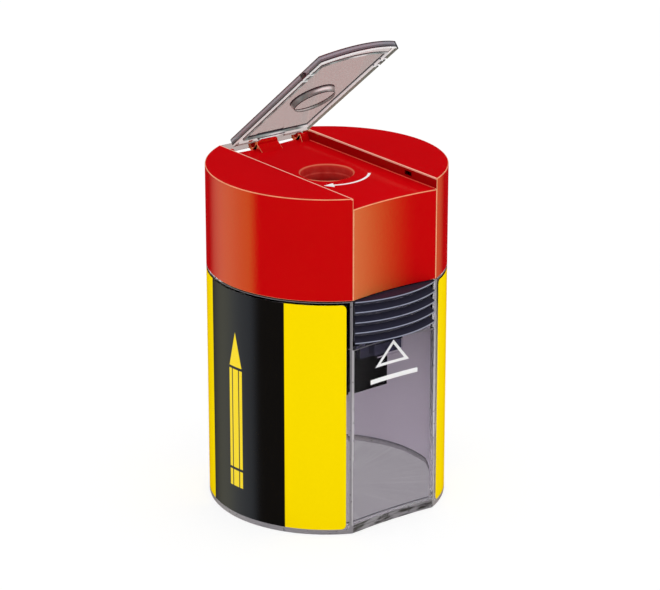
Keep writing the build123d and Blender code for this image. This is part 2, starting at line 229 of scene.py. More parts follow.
class PrintSettings(PropertyGroup):
    """Sizes of the printed marks."""
    stroke: length("Stroke", "Width of a printed line", 0.48)
    ink: length("Ink", "Thickness of the ink", 0.02)
    apex_x: length("Apex across", "Place of the triangle's apex across the panel", 0.3)
    apex_z: length("Apex height", "Height of the triangle's apex", 32.5)
    base_half: length("Base half width", "Half the width of the triangle's base", 3.05)
    base_z: length("Base height", "Height of the triangle's base", 29.0)
    bar_half: length("Bar half width", "Half the width of the bar below the triangle", 5.0)
    bar_z: length("Bar height", "Height of the bar below the triangle", 26.4)
    bar_width: length("Bar width", "Width of the bar below the triangle", 0.8)
    turn_radius: length("Turn radius", "Radius of the turning arrow", 7.2)
    turn_start: angle("Turn start", "Angle at which the turning arrow starts", -42)
    turn_end: angle("Turn end", "Angle at which the turning arrow ends", -118)
    head: length("Arrow head", "Length of the arrow's head", 1.7)


class ColourSettings(PropertyGroup):
    """Colours of the finishes, as linear light."""
    red: colour("Red", "Cap", 0.565, 0.0010, 0.0035)
    # Painted highlight on the cap's rounded edges and on the pencil hole's lip
    red_edge_highlight: colour("Red edge", "Worn edges of the cap", 0.86, 0.33, 0.19)
    # Painted highlight line along the channel's upper edges
    wing_highlight: colour("Wing line", "Pale line along the channel's upper edges", 1.0, 0.52, 0.40)
    # Painted highlight line along the channel's floor
    floor_edge_highlight: colour("Floor line", "Faint line along the channel's floor", 0.72, 0.045, 0.038)
    # Dull tone inside the pencil hole, painted darker with depth as shade
    hole_tone: colour("Smudge", "Red plastic dulled by graphite inside the pencil hole", 0.66, 0.042, 0.034)
    # Painted highlight ring inside the pencil hole
    hole_highlight_ring: colour("Smudge ring", "Lighter ring inside the pencil hole", 0.95, 0.12, 0.09)
    red_gloss: colour("Red gloss", "Tint of the cap's gloss", 0.60, 1.00, 0.0)
    yellow: colour("Yellow", "Yellow stripes", 0.965, 0.715, 0.0)
    black: colour("Black", "Black stripe", 0.0060, 0.0050, 0.0042)
    film_gloss: colour("Film gloss", "Tint of the labels' gloss", 0.50, 0.62, 1.0)
    backing: colour("Backing", "Back of the labels", 0.92, 0.90, 0.92)
    tub_tint: colour("Tub tint", "Tint of the clear tub", 0.865, 0.840, 0.875)
    # Grey painted on the clear tub's edges for their refracted look
    tub_edge_refraction: colour("Tub edge", "Frosted edges of the clear tub", 0.29, 0.27, 0.29)
    # Painted highlight lines along the notches' corners
    tub_corner_highlight: colour("Tub line", "Pale lines along the notches' corners", 0.66, 0.64, 0.66)
    # Painted dark streaks of refraction along the tub's foot
    tub_foot_refraction: colour("Tub foot", "Dark streaks along the tub's foot", 0.016, 0.013, 0.011)
    # Painted shade in the round between the tub's floor and its wall
    tub_bend_shade: colour("Tub bend", "Round between the tub's floor and its wall", 0.016, 0.016, 0.026)
    # Grey painted on the clear flap's walls for their refracted look
    flap_edge_refraction: colour("Flap edge", "Frosted edges of the clear flap", 0.135, 0.14, 0.16)
    # Painted dark shade lines along the clear flap's edges
    flap_shade_line: colour("Flap line", "Dark lines along the clear flap's edges", 0.020, 0.018, 0.024)
    # Grey painted on the clear plug's side for its refracted look
    plug_refraction: colour("Flap plug", "Frosted side of the clear plug", 0.26, 0.30, 0.29)
    # Paler tint as a painted highlight on the foot of the clear flap's rim
    flap_rim_highlight: colour("Flap rim", "Foot of the clear flap's rim", 0.90, 0.88, 0.88)
    flap_tint: colour("Flap tint", "Tint of the clear flap", 0.43, 0.36, 0.345)
    ribs: colour("Ribs", "Press pads", 0.024, 0.023, 0.041)
    # Painted highlight line on the press pads' ridge crests
    rib_crest_highlight: colour("Rib edge", "Worn crests of the press pads", 0.30, 0.32, 0.42)
    dark: colour("Dark plastic", "Carrier and sharpener block", 0.0030, 0.0024, 0.0034)
    steel: colour("Steel", "Blade", 0.58, 0.58, 0.60)
    plated: colour("Plated steel", "Screw", 0.50, 0.49, 0.46)
    ink: colour("Ink", "White printed marks", 0.90, 0.90, 0.90)


class StageSettings(PropertyGroup):
    """Camera, light and floor."""
    azimuth: angle("Azimuth", "Camera's angle from the front, towards +X", -37.64)
    elevation: angle("Elevation", "Camera's angle above the floor", 20.27)
    distance: length("Distance", "Camera's distance from its target", 493.4)
    target_x: length("Target across", "X of the point at the picture's centre", 0.70)
    target_z: length("Target height", "Height of the point at the picture's centre", 35.48)
    lens: level("Lens", "Focal length on a 36 mm sensor, in millimetres", 157.2)
    ambient: level("Ambient", "Brightness of the room for matte surfaces", 1.0)
    gloom: level("Gloom", "Brightness of the room in reflections", 0.007)
    panel: level("Light panel", "Brightness of the light panels in reflections", 2.75)
    inside: level("Inside", "Brightness of the room for matte surfaces behind clear plastic", 4.6)
    key: level("Key", "Power of the lamp above, in watts", 1.0)
    key_size: length("Key size", "Side of the lamp above", 500)
    key_distance: length("Key distance", "Distance of the lamp above from the tub's rim", 700)
    key_turn: angle("Key turn", "Angle of the lamp above, to the right of the camera", 40)
    key_rise: angle("Key rise", "Angle of the lamp above over the floor", 76)
    floor_radius: length("Floor radius", "Radius of the round floor", 2000)
    floor_tone: level("Floor tone", "Most that the floor reflects", 0.85)
    floor_glow: level("Floor glow", "Share of the floor's white that no shadow reaches", 0.80)
    floor_glow_through: level("Floor glow through", "The same share, seen through clear plastic", 0.26)
    # Painted shadow under the tub, seen through clear plastic
    floor_painted_shadow: level("Floor under", "Floor's tone right under the tub, seen through clear plastic", 0.60)


class SharpenerSettings(PropertyGroup):
    """All settings of the sharpener."""
    tub: PointerProperty(type=TubSettings)
    label: PointerProperty(type=LabelSettings)
    cap: PointerProperty(type=CapSettings)
    flap: PointerProperty(type=FlapSettings)
    tab: PointerProperty(type=TabSettings)
    marks: PointerProperty(type=PrintSettings)
    colours: PointerProperty(type=ColourSettings)
    stage: PointerProperty(type=StageSettings)


# Surfaces


def ruled(near, far):
    """Surface of straight lines between two edges of as many points: near + v (far - near), v = 0 and 1."""
    return np.stack([near, far])


def fan(loop):
    """Flat end of a closed loop: straight lines from every point to the loop's middle."""
    return ruled(loop, np.broadcast_to(loop.mean(axis=0), loop.shape))


def through(stops, counts):
    """Numbers that run from stop to stop, with a count on each stretch, its two ends among them."""
    return np.concatenate([np.linspace(*ends, count) for *ends, count in zip(stops, stops[1:], counts)])


def round_plan(turn):
    """Plan of the unit circle: (cos t, sin t)."""
    return np.stack([np.cos(turn), np.sin(turn)], axis=-1)


def at_height(plan, z):
    """Points of a plan lifted to a height."""
    return np.column_stack([plan, np.broadcast_to(z, len(plan))])


def circle_through(loop, radius, z):
    """Circle about the pencil's axis whose points lie in the same directions as those of a loop."""
    return at_height(radius * round_plan(np.arctan2(loop[:, 1], loop[:, 0])), z)


def along(sections, closed_path=False):
    """Patches of a solid: closed sections carried along a path, with flat ends unless the path is closed."""
    if closed_path:
        return [(np.concatenate([sections, sections[:1]]), True)]
    return [(sections, True), (fan(sections[0]), True), (fan(sections[-1]), True)]


def slab(low, high):
    """Patches of a box between two corners."""
    (x0, y0, z0), (x1, y1, z1) = low, high
    plan = np.array([(x0, y0), (x1, y0), (x1, y1), (x0, y1)])
    return along(np.stack([at_height(plan, z0), at_height(plan, z1)]))


def rod(radius, half, y, z, sides=40):
    """Patches of a round bar along X: (x, y + r cos t, z + r sin t)."""
    turn = np.linspace(0, 2 * pi, sides, endpoint=False)
    ring = np.stack([np.zeros(sides), y + radius * np.cos(turn), z + radius * np.sin(turn)], axis=-1)
    return along(np.stack([ring - (half, 0, 0), ring + (half, 0, 0)]))


def moved(patches, change):
    """The same patches with a change made to all their points."""
    return [(change(patch[0]), *patch[1:]) for patch in patches]


def half_turn(points):
    """Half a turn about the drum's axis."""
    return points * (-1, -1, 1)


def mirrored(points):
    """Mirror image across the middle plane."""
    return points * (-1, 1, 1)


def swung_open(points):
    """Turn about the flap's hinge from shut to the open rest: about X by minus the open angle."""
    y = points[..., 1] - HINGE_Y
    z = points[..., 2] - HINGE_Z
    turned_y = HINGE_Y + y * cos(OPEN_ANGLE) + z * sin(OPEN_ANGLE)
    turned_z = HINGE_Z - y * sin(OPEN_ANGLE) + z * cos(OPEN_ANGLE)
    return np.stack([points[..., 0], turned_y, turned_z], axis=-1)


def cells(rows, columns, closed):
    """Corner numbers of the quads of a grid, row by row; a closed grid joins its last column to its first."""
    wide = columns if closed else columns - 1
    row, place = np.meshgrid(np.arange(rows - 1), np.arange(wide), indexing="ij")
    following = (place + 1) % columns
    near, far = row * columns, (row + 1) * columns
    return np.stack([near + place, near + following, far + following, far + place], axis=-1)


def make_piece(name, patches, *finishes):
    """Piece from patches, each (grid of points, closed or not, cells kept), welded along their edges."""
    points, faces, start = [], [], 0
    for grid, closed, *kept in patches:
        quads = cells(*grid.shape[:2], closed)
        quads = quads[kept[0]] if kept else quads.reshape(-1, 4)
        points.append(grid.reshape(-1, 3))
        faces.append(quads + start)
        start += grid.shape[0] * grid.shape[1]
    mesh = bpy.data.meshes.new(name)
    mesh.from_pydata(np.concatenate(points).tolist(), [], np.concatenate(faces).tolist())
    weld(mesh)
    return in_scene(name, mesh, finishes)


def in_scene(name, mesh, finishes):
    """Object in the scene with a mesh and its finishes."""
    for finish in finishes:
        mesh.materials.append(finish)
    piece = bpy.data.objects.new(name, mesh)
    bpy.context.scene.collection.objects.link(piece)
    return piece


def weld(mesh):
    """Join points that lie together, turn every face outwards and shade round stretches smooth."""
    shell = bmesh.new()
    shell.from_mesh(mesh)
    bmesh.ops.remove_doubles(shell, verts=shell.verts, dist=WELD)
    bmesh.ops.dissolve_degenerate(shell, dist=WELD, edges=shell.edges)
    bmesh.ops.recalc_face_normals(shell, faces=shell.faces)
    shell.to_mesh(mesh)
    shell.free()
    mesh.shade_smooth()
    mesh.set_sharp_from_angle(angle=SHARP_ANGLE)


def column(items, field, width, kind):
    """One field of all items of a mesh as an array."""
    values = np.empty(len(items) * width, kind)
    items.foreach_get(field, values)
    return values.reshape(-1, width) if width > 1 else values


def face_places(piece):
    """Middles and directions of a piece's faces."""
    return [column(piece.data.polygons, field, 3, np.float32) for field in ("center", "normal")]


def share_out(piece, index):
    """Give each face of a piece the finish with its number."""
    piece.data.polygons.foreach_set("material_index", index.astype(np.int32))


def soften(piece, width, share, edge_finish):
    """Round the sharp edges of a closed piece; share gives the part of the width from an edge's middle."""
    mesh = piece.data
    edge = column(mesh.loops, "edge_index", 1, np.int32)
    if len(edge) != 2 * len(mesh.edges):
        raise RuntimeError(f"{piece.name} is not a closed shell")
    face = np.repeat(np.arange(len(mesh.polygons)), column(mesh.polygons, "loop_total", 1, np.int32))
    first, second = face[np.argsort(edge, kind="stable")].reshape(-1, 2).T
    normal = column(mesh.polygons, "normal", 3, np.float32)
    sharp = (normal[first] * normal[second]).sum(axis=1) < cos(SHARP_ANGLE)
    point = column(mesh.vertices, "co", 3, np.float32).astype(float)
    middle = point[column(mesh.edges, "vertices", 2, np.int32)].mean(axis=1)
    weight = mesh.attributes.new("bevel_weight_edge", "FLOAT", "EDGE")
    weight.data.foreach_set("value", (sharp * share(*middle.T)).astype(np.float32))
    bevel = piece.modifiers.new("soft_edges", "BEVEL")
    bevel.width = width
    bevel.segments = EDGE_STEPS
    bevel.limit_method = "WEIGHT"
    bevel.harden_normals = True
    bevel.material = edge_finish


def fuse(name, shells, *finishes):
    """One closed shell from overlapping ones, which are used up."""
    first, *others = shells
    for other in others:
        join = first.modifiers.new("join", "BOOLEAN")
        join.operation = "UNION"
        join.solver = "EXACT"
        join.object = other
    graph = bpy.context.evaluated_depsgraph_get()
    mesh = bpy.data.meshes.new_from_object(first.evaluated_get(graph))
    mesh.name = name
    for shell in shells:
        bpy.data.objects.remove(shell)
    weld(mesh)
    mesh.materials.clear()
    return in_scene(name, mesh, finishes)


# The drum's outline


def notch_y(x, reach, hollow):
    """Front notch: the circle through both corners that is hollow deep in the middle, as y over x."""
    bend = (NOTCH_HALF**2 + hollow**2) / (2 * hollow)
    return hollow - reach - bend + np.sqrt(bend**2 - x**2)


def inner_hollow(wall, hollow):
    """Depth of the notch on the inside of a wall that follows it."""
    return sqrt((RADIUS - wall) ** 2 - NOTCH_HALF**2) - (CORNER_Y - hollow - wall)


def panel_hollow(tub, z):
    """Depth of the tub's notch at a height, which changes evenly from the foot to the rim."""
    return tub.hollow_foot + (tub.hollow_top - tub.hollow_foot) * z / TUB_TOP


def at_corner(x, y):
    """Whether places lie on the drum's upright corners."""
    return (abs(abs(x) - NOTCH_HALF) < TINY) & (abs(abs(y) - CORNER_Y) < TINY)


def outline(z, radius, hollow, spread, across, sink=0.0):
    """Closed outline of the notched drum at a height: right side, rear notch, left side, front notch.
    A side is (r cos t, r sin t) with t = spread times the corner's angle, and sinks in by sink;
    a notch is notch_y over across, from corner to corner."""
    turn = spread * acos(NOTCH_HALF / radius)
    side = np.stack([(radius - sink) * np.cos(turn), (radius - sink) * np.sin(turn)], axis=-1)
    x = across[1:-1]
    front = np.stack([x, notch_y(x, sqrt(radius**2 - NOTCH_HALF**2), hollow)], axis=-1)
    return at_height(np.concatenate([side, -front, side[::-1] * (-1, 1), front]), z)


class Stretches:
    """The four stretches of an outline with a count of side points and one of notch points."""

    def __init__(self, sides, notches):
        self.corners = [0, sides - 1, sides + notches - 2, 2 * sides + notches - 3]
        total = 2 * sides + 2 * notches - 4
        self.right = np.arange(0, sides)
        self.rear = np.arange(sides - 1, sides + notches - 1)
        self.left = np.arange(sides + notches - 2, 2 * sides + notches - 2)
        self.front = np.append(np.arange(2 * sides + notches - 3, total), 0)
        self.in_notch = np.zeros(total, bool)
        self.in_notch[self.rear[:-1]] = True
        self.in_notch[self.front[:-1]] = True


def side_share(y):
    """Share of the round side, from -1 at the front corner to 1 at the rear one, at which it has a y."""
    return asin(y / RADIUS) / acos(NOTCH_HALF / RADIUS)


# Finishes


def shaded(rgba, share):
    """A colour made darker or lighter by a share."""
    return (*(min(1.0, channel * share) for channel in rgba[:3]), 1.0)


class Nodes:
    """A node tree and the nodes of its patterns; a value is a number, a colour or a node's output."""

    def __init__(self, tree):
        self.tree = tree

    def add(self, kind, **settings):
        """A new node with its settings."""
        node = self.tree.nodes.new("ShaderNode" + kind)
        for name, value in settings.items():
            setattr(node, name, value)
        return node

    def give(self, socket, value):
        """Give a socket a value, or link it to another node's output."""
        if isinstance(value, bpy.types.NodeSocket):
            self.tree.links.new(value, socket)
        else:
            socket.default_value = value

    def maths(self, operation, first, *others):
        """A maths operation on one value, or on several in turn."""
        for other in others or (0.0,):
            node = self.add("Math", operation=operation)
            self.give(node.inputs[0], first)
            self.give(node.inputs[1], other)
            first = node.outputs[0]
        return first

    def product(self, first, *others):
        """Values multiplied."""
        return self.maths("MULTIPLY", first, *others)

    def total(self, first, *others):
        """Values added."""
        return self.maths("ADD", first, *others)

    def greatest(self, first, *others):
        """The greatest of several values."""
        return self.maths("MAXIMUM", first, *others)

    def less(self, first, *others):
        """A value less others."""
        return self.maths("SUBTRACT", first, *others)

    def size(self, value):
        """A value without its sign."""
        return self.maths("ABSOLUTE", value)

    def apart(self, first, second):
        """How far two values lie apart."""
        return self.size(self.less(first, second))

    def eased(self, value, low, high, start=0.0, end=1.0):
        """A number eased from start to end while a value passes from low to high."""
        node = self.add("MapRange", interpolation_type="SMOOTHSTEP")
        for socket, given in zip(node.inputs, (value, low, high, start, end)):
            self.give(socket, given)
        return node.outputs[0]

    def fading(self, value, low, high, full=1.0):
        """A share that is full up to low and nothing from high on."""
        return self.eased(value, low, high, full, 0.0)

    def line(self, value, middle, half, end, full=1.0):
        """A soft line: a share that is full within half of a middle and nothing beyond end."""
        return self.fading(self.apart(value, middle), half, end, full)

    def switch(self, share, off, on):
        """One value at a share of nothing and another at a full one."""
        return self.eased(share, 0.0, 1.0, off, on)

    def mix(self, share, low, high):
        """Colour between two colours."""
        node = self.add("Mix", data_type="RGBA")
        for socket, given in zip((node.inputs[0], node.inputs[6], node.inputs[7]), (share, low, high)):
            self.give(socket, given)
        return node.outputs[2]


class Finish(Nodes):
    """A material with its shader, on the object's own coordinates in millimetres."""

    def __init__(self, name):
        self.material = bpy.data.materials.new(name)
        self.material.use_nodes = True
        super().__init__(self.material.node_tree)
        self.shader = self.tree.nodes["Principled BSDF"]

    def stretched(self, *shares):
        """Object coordinates in millimetres, stretched along each axis."""
        mapping = self.add("Mapping")
        mapping.inputs["Scale"].default_value = [1 / MM / share for share in shares]
        self.give(mapping.inputs["Vector"], self.add("TexCoord").outputs["Object"])
        return mapping.outputs["Vector"]

    @cached_property
    def place(self):
        """Object coordinates in millimetres."""
        return self.stretched(1, 1, 1)

    @cached_property
    def axes(self):
        """The three coordinates by themselves."""
        node = self.add("SeparateXYZ")
        self.give(node.inputs[0], self.place)
        return tuple(node.outputs)

    @cached_property
    def from_axis(self):
        """Distance from the drum's axis: the root of x x + y y."""
        x, y = self.axes[:2]
        return self.maths("SQRT", self.total(self.product(x, x), self.product(y, y)))

    def noise(self, grain, detail=2.0, stretch=None):
        """Noise with grains of a size in millimetres."""
        node = self.add("TexNoise")
        self.give(node.inputs["Vector"], self.stretched(*stretch) if stretch else self.place)
        node.inputs["Scale"].default_value = 1 / grain
        node.inputs["Detail"].default_value = detail
        return node.outputs[0]

    def uneven(self, grain, low, high):
        """A number that noise takes from low to high."""
        return self.eased(self.noise(grain), 0.3, 0.7, low, high)

    def mottled(self, tone, pattern, low, high):
        """A colour that a pattern takes from one share of it to another."""
        return self.mix(pattern, shaded(tone, low), shaded(tone, high))

    def bumps(self, pattern, depth):
        """Relief on the surface: a pattern from 0 to 1 times a depth in millimetres."""
        node = self.add("Bump")
        node.inputs["Distance"].default_value = depth * MM
        self.give(node.inputs["Height"], pattern)
        self.fit({"Normal": node.outputs["Normal"]})

    def fit(self, values):
        """Give the shader's sockets their values."""
        for name, value in values.items():
            self.give(self.shader.inputs[name], value)


def from_channel_wall(finish):
    """Distance across from the planes through the notches' corners, in which the channel's walls stand."""
    return finish.apart(finish.size(finish.axes[0]), NOTCH_HALF / MM)


def wing_highlight(finish):
    """Painted highlight line along the channel's upper edges, wider on the left wing than on the right one."""
    reach = finish.eased(finish.axes[0], -1.0, 1.0, WING_HIGHLIGHT_LEFT, WING_HIGHLIGHT_RIGHT)
    return finish.fading(from_channel_wall(finish), reach, finish.total(reach, WING_HIGHLIGHT_SOFT))


def lip_highlight(finish, cap):
    """Painted highlight on the pencil hole's lip: a thin ring, and a wider one at the front left, where x + y is
    least.
    """
    x, y = finish.axes[:2]
    thin = (HOLE_RADIUS + 0.45 * cap.lip) / MM
    wide = (HOLE_RADIUS + 1.1 * cap.lip) / MM
    front_left = finish.fading(finish.total(x, y), -1.41 * wide, -1.14 * wide, 0.8)
    thin_ring = finish.line(finish.from_axis, thin, half=0.04, end=0.20, full=0.45)
    wide_ring = finish.line(finish.from_axis, wide, half=0.15, end=0.25)
    return finish.greatest(thin_ring, finish.product(front_left, wide_ring))


def painted_depth_shade(finish, colours, cap):
    """Dull red inside the pencil hole, painted darker from some depth on as shade, with one lighter ring as a
    painted highlight.
    """
    depth = finish.less((CAP_TOP - cap.channel_depth) / MM, finish.axes[2])
    dull = finish.mix(finish.eased(depth, 1.6, 3.0), colours.hole_tone, shaded(colours.hole_tone, 0.55))
    return finish.mix(finish.line(depth, 1.5, half=0.08, end=0.22, full=0.7), dull, colours.hole_highlight_ring)


def snap_slot_shade(finish, cap):
    """Share that lies inside the snap slots, where they are painted dark as shade, by the depth in the wall, the
    place along it and the height.
    """
    x, y, z = finish.axes
    half, deep, top = cap.snap_length / 2 / MM, cap.snap_depth / MM, CAP_TOP / MM
    into = finish.less(finish.size(x), NOTCH_HALF / MM + deep)
    return finish.product(finish.fading(into, 0.01, 0.02), finish.eased(into, 0.04 - deep, 0.30 - deep),
                          finish.line(y, -cap.snap_y / MM, half=half + 0.01, end=half + 0.02),
                          finish.fading(z, top - 0.40, top - 0.30))


def red_finish(name, colours, cap, specular, smooth, rough):
    """Satin red moulded plastic: slow mottling, a fine spark-eroded grain and an orange gloss. The channel's
    walls and the snap slots are painted darker as shade, the inside of the pencil hole is dulled with painted
    shade and a painted highlight ring, and the channel's upper edges and the hole's lip carry a painted highlight."""
    finish = Finish(name)
    z = finish.axes[2]
    upper = CAP_TOP / MM - 0.30, CAP_TOP / MM - 0.20
    hole = HOLE_RADIUS / MM
    wall = finish.product(finish.fading(from_channel_wall(finish), 0.02, 0.04), finish.fading(z, *upper))
    inside = finish.product(finish.fading(finish.from_axis, hole, hole + 0.1),
                            finish.eased(finish.noise(grain=1.5, detail=4.0), 0.2, 0.7, 0.4, 1.0))
    paint = finish.mottled(colours.red, finish.noise(grain=6.0), low=0.96, high=1.04)
    # Painted shade on the channel's walls and in the snap slots, painted shade and a highlight ring in the hole,
    # painted highlights on the lip and the upper edges
    paint = finish.mix(wall, paint, shaded(colours.red, WALL_SHADE))
    paint = finish.mix(snap_slot_shade(finish, cap), paint, shaded(colours.red, 0.10))
    paint = finish.mix(inside, paint, painted_depth_shade(finish, colours, cap))
    paint = finish.mix(lip_highlight(finish, cap), paint, colours.red_edge_highlight)
    paint = finish.mix(finish.product(finish.eased(z, *upper), wing_highlight(finish)), paint, colours.wing_highlight)
    finish.fit({"Base Color": paint, "Roughness": finish.uneven(grain=0.35, low=smooth, high=rough),
                "Specular IOR Level": specular, "Specular Tint": colours.red_gloss})
    finish.bumps(finish.noise(grain=0.36), depth=0.012)
    return finish.material


def red_edge_highlight_finish(colours, cap):
    """Painted highlight on the rounded edges of the red plastic, paler and smoother, patchy: palest along the
    channel's upper edges, apart from what faces the channel, which takes the walls' painted shade, and faint along
    the channel's floor."""
    finish = Finish("rubbed_red_edge")
    y, z = finish.axes[1:]
    top, floor, corner = CAP_TOP / MM, (CAP_TOP - cap.channel_depth) / MM, CORNER_Y / MM
    from_wall = from_channel_wall(finish)
    beside = finish.product(finish.fading(from_wall, 0.30, 0.40),
                            finish.fading(finish.size(y), corner - 0.5, corner - 0.3))
    on_top = finish.product(beside, finish.eased(z, top - 0.30, top - 0.26))
    inward = finish.product(on_top, finish.fading(from_wall, 0.05, 0.10),
                            finish.fading(z, top - 0.12, top - 0.05))
    at_floor = finish.product(beside, finish.fading(z, floor + 0.30, floor + 0.34))
    # Patchy spread of the painted highlight
    patchy_highlight = finish.eased(finish.noise(grain=1.6, detail=4.0), 0.25, 0.6)
    paint = finish.mottled(colours.red_edge_highlight, patchy_highlight, low=0.80, high=1.0)
    paint = finish.mix(on_top, paint, finish.mix(wing_highlight(finish), colours.red, colours.wing_highlight))
    paint = finish.mix(inward, paint, shaded(colours.red, WALL_SHADE))
    paint = finish.mix(at_floor, paint, colours.floor_edge_highlight)
    finish.fit({"Base Color": paint, "Roughness": 0.3, "Specular Tint": colours.red_gloss})
    return finish.material


def pencil_print(finish, round_drum, label):
    """Plain pencil figure on the black stripe: body, tip and end band, by the angle and the height.
    Its half width is the smaller of the body's and what the slope of the tip leaves at a height."""
    z = finish.axes[2]
    half, low, tip = label.pencil_width / 2 / MM, label.pencil_low / MM, label.pencil_tip / MM
    shoulder = tip - PENCIL_SLOPE * half
    aside = finish.product(finish.apart(round_drum, label.pencil_place), RADIUS / MM)
    taper = finish.product(finish.less(tip, z), 1 / PENCIL_SLOPE)
    inside = finish.less(finish.maths("MINIMUM", taper, half), aside)
    figure = finish.product(finish.eased(inside, -0.04, 0.04), finish.eased(z, low - 0.05, low + 0.05))
    for gap in (shoulder, low + 2 * half):
        figure = finish.product(figure, finish.eased(finish.apart(z, gap), 0.20, 0.28))
    grooves = finish.eased(finish.apart(aside, half / 2), 0.08, 0.16)
    on_tip = finish.eased(z, shoulder - 0.05, shoulder + 0.05)
    return finish.product(figure, finish.greatest(grooves, on_tip))


def label_finish(name, colours, label, turned, specular):
    """Printed film: a black stripe between yellow ones by the angle round the drum, under a thin gloss."""
    finish = Finish(name)
    x, y = finish.axes[:2]
    side = 1.0 if turned else -1.0
    round_drum = finish.maths("ARCTAN2", finish.product(x, side), finish.product(y, side))
    enter, leave = (finish.eased(round_drum, turn - STRIPE_SOFT, turn + STRIPE_SOFT)
                    for turn in (label.black_start, label.black_end))
    stripe = finish.less(enter, leave, pencil_print(finish, round_drum, label))
    ink = finish.noise(grain=0.5, detail=4.0)
    yellow = finish.mottled(colours.yellow, ink, low=0.98, high=1.02)
    black = finish.mottled(colours.black, ink, low=0.9, high=1.1)
    finish.fit({"Base Color": finish.mix(stripe, yellow, black),
                "Roughness": finish.uneven(grain=8.0, low=0.13, high=0.16),
                "Specular IOR Level": specular, "Specular Tint": colours.film_gloss})
    finish.bumps(finish.noise(grain=9.0, detail=1.0), depth=0.004)
    return finish.material


def backing_finish(colours):
    """Unprinted back of the film: white with a faint paper grain."""
    finish = Finish("label_backing")
    fibre = finish.noise(grain=0.6, detail=4.0, stretch=(1, 1, 3))
    finish.fit({"Base Color": finish.mottled(colours.backing, fibre, low=0.94, high=1.0), "Roughness": 0.6})
    return finish.material


def clear_finish(name, tint, index, gloss):
    """Smoky clear plastic: smooth, slightly wavy and tinted."""
    finish = Finish(name)
    finish.fit({"Base Color": finish.mottled(tint, finish.noise(grain=7.0), low=0.97, high=1.03),
                "Roughness": finish.uneven(grain=4.0, low=0.01, high=0.04),
                "Transmission Weight": 1.0, "IOR": index, "Specular Tint": (gloss, gloss, gloss, 1.0)})
    finish.bumps(finish.noise(grain=5.0, detail=1.0), depth=0.012)
    return finish.material


def tub_edge_refraction_finish(colours, tub):
    """Edges of the clear tub: grey painted in for their refracted look, with painted highlight lines along the
    notches' corners, and painted dark streaks of refraction where the floor shows through the foot of the notches."""
    finish = Finish("frosted_tub_edge")
    x, z = finish.axes[0], finish.axes[2]
    foot = tub.foot_band / MM
    past_corner = finish.less(finish.size(x), NOTCH_HALF / MM)
    low = finish.fading(z, foot - 0.2, foot)
    line = finish.product(finish.fading(finish.size(past_corner), 0.12, 0.22), finish.less(1.0, low))
    streaks = finish.eased(finish.noise(grain=0.5, detail=3.0, stretch=(5, 5, 1)), 0.40, 0.62)
    streaked = finish.product(low, streaks, finish.fading(past_corner, -0.2, 0.0))
    # Speckle for the painted refraction grey and the roughness
    speckle = finish.noise(grain=0.8, detail=3.0)
    paint = finish.mix(line, finish.mottled(colours.tub_edge_refraction, speckle, low=0.9, high=1.1), colours.tub_corner_highlight)
    finish.fit({"Base Color": finish.mix(streaked, paint, colours.tub_foot_refraction),
                "Roughness": finish.eased(speckle, 0.2, 0.8, 0.25, 0.40),
                "Transmission Weight": 0.4, "IOR": 1.3})
    return finish.material


def shut_height(finish, datum):
    """Height over a datum of the shut flap, in millimetres: (y - hinge) sin a + (z - hinge) cos a,
    where a is the angle at which the flap stands open."""
    y, z = finish.axes[1:]
    forward = finish.product(finish.less(y, HINGE_Y / MM), sin(OPEN_ANGLE))
    upward = finish.product(finish.less(z, HINGE_Z / MM), cos(OPEN_ANGLE))
    return finish.less(finish.total(forward, upward), (datum - HINGE_Z) / MM)


def flap_wall_light_finish(colours, flap):
    """Upright walls of the clear flap, painted with the light and shade of refraction: grey with a painted lighter
    band, painted dark lines along the top and above a pale foot painted as a highlight, by the height over the
    rim's foot. The right wall is painted pale as a highlight with a painted dark line along its foot, and the nubs
    and the front wall's right end are painted dark as shade."""
    finish = Finish("layered_flap_edge")
    x = finish.axes[0]
    height = shut_height(finish, CAP_TOP - flap.inset - flap.height)
    half, top = flap.half / MM, flap.height / MM
    right = finish.eased(x, half - 0.10, half - 0.05)
    not_right = finish.less(1.0, right)
    pale = finish.greatest(right, finish.fading(height, 0.26, 0.32))
    foot_line = finish.product(finish.line(height, 0.42, half=0.06, end=0.13), not_right)
    right_foot = finish.product(finish.fading(height, 0.75, 0.85), right)
    right_end = finish.product(finish.eased(x, half - 0.55, half - 0.45), not_right)
    nub = finish.eased(finish.size(x), half + 0.02, half + 0.06)
    top_line = finish.eased(height, top - 0.27, top - 0.14)
    dark = finish.greatest(foot_line, top_line, right_foot, right_end, nub)
    # Speckle for the painted refraction grey and the roughness
    speckle = finish.noise(grain=0.8, detail=3.0)
    paint = finish.mottled(colours.flap_edge_refraction, speckle, low=0.9, high=1.1)
    paint = finish.mix(finish.line(height, 1.0, half=0.10, end=0.24), paint, shaded(colours.flap_edge_refraction, 2.2))
    paint = finish.mix(pale, paint, colours.flap_rim_highlight)
    finish.fit({"Base Color": finish.mix(dark, paint, colours.flap_shade_line), "Transmission Weight": 0.25,
                "IOR": 1.2, "Roughness": finish.eased(speckle, 0.2, 0.8, 0.25, 0.40)})
    return finish.material


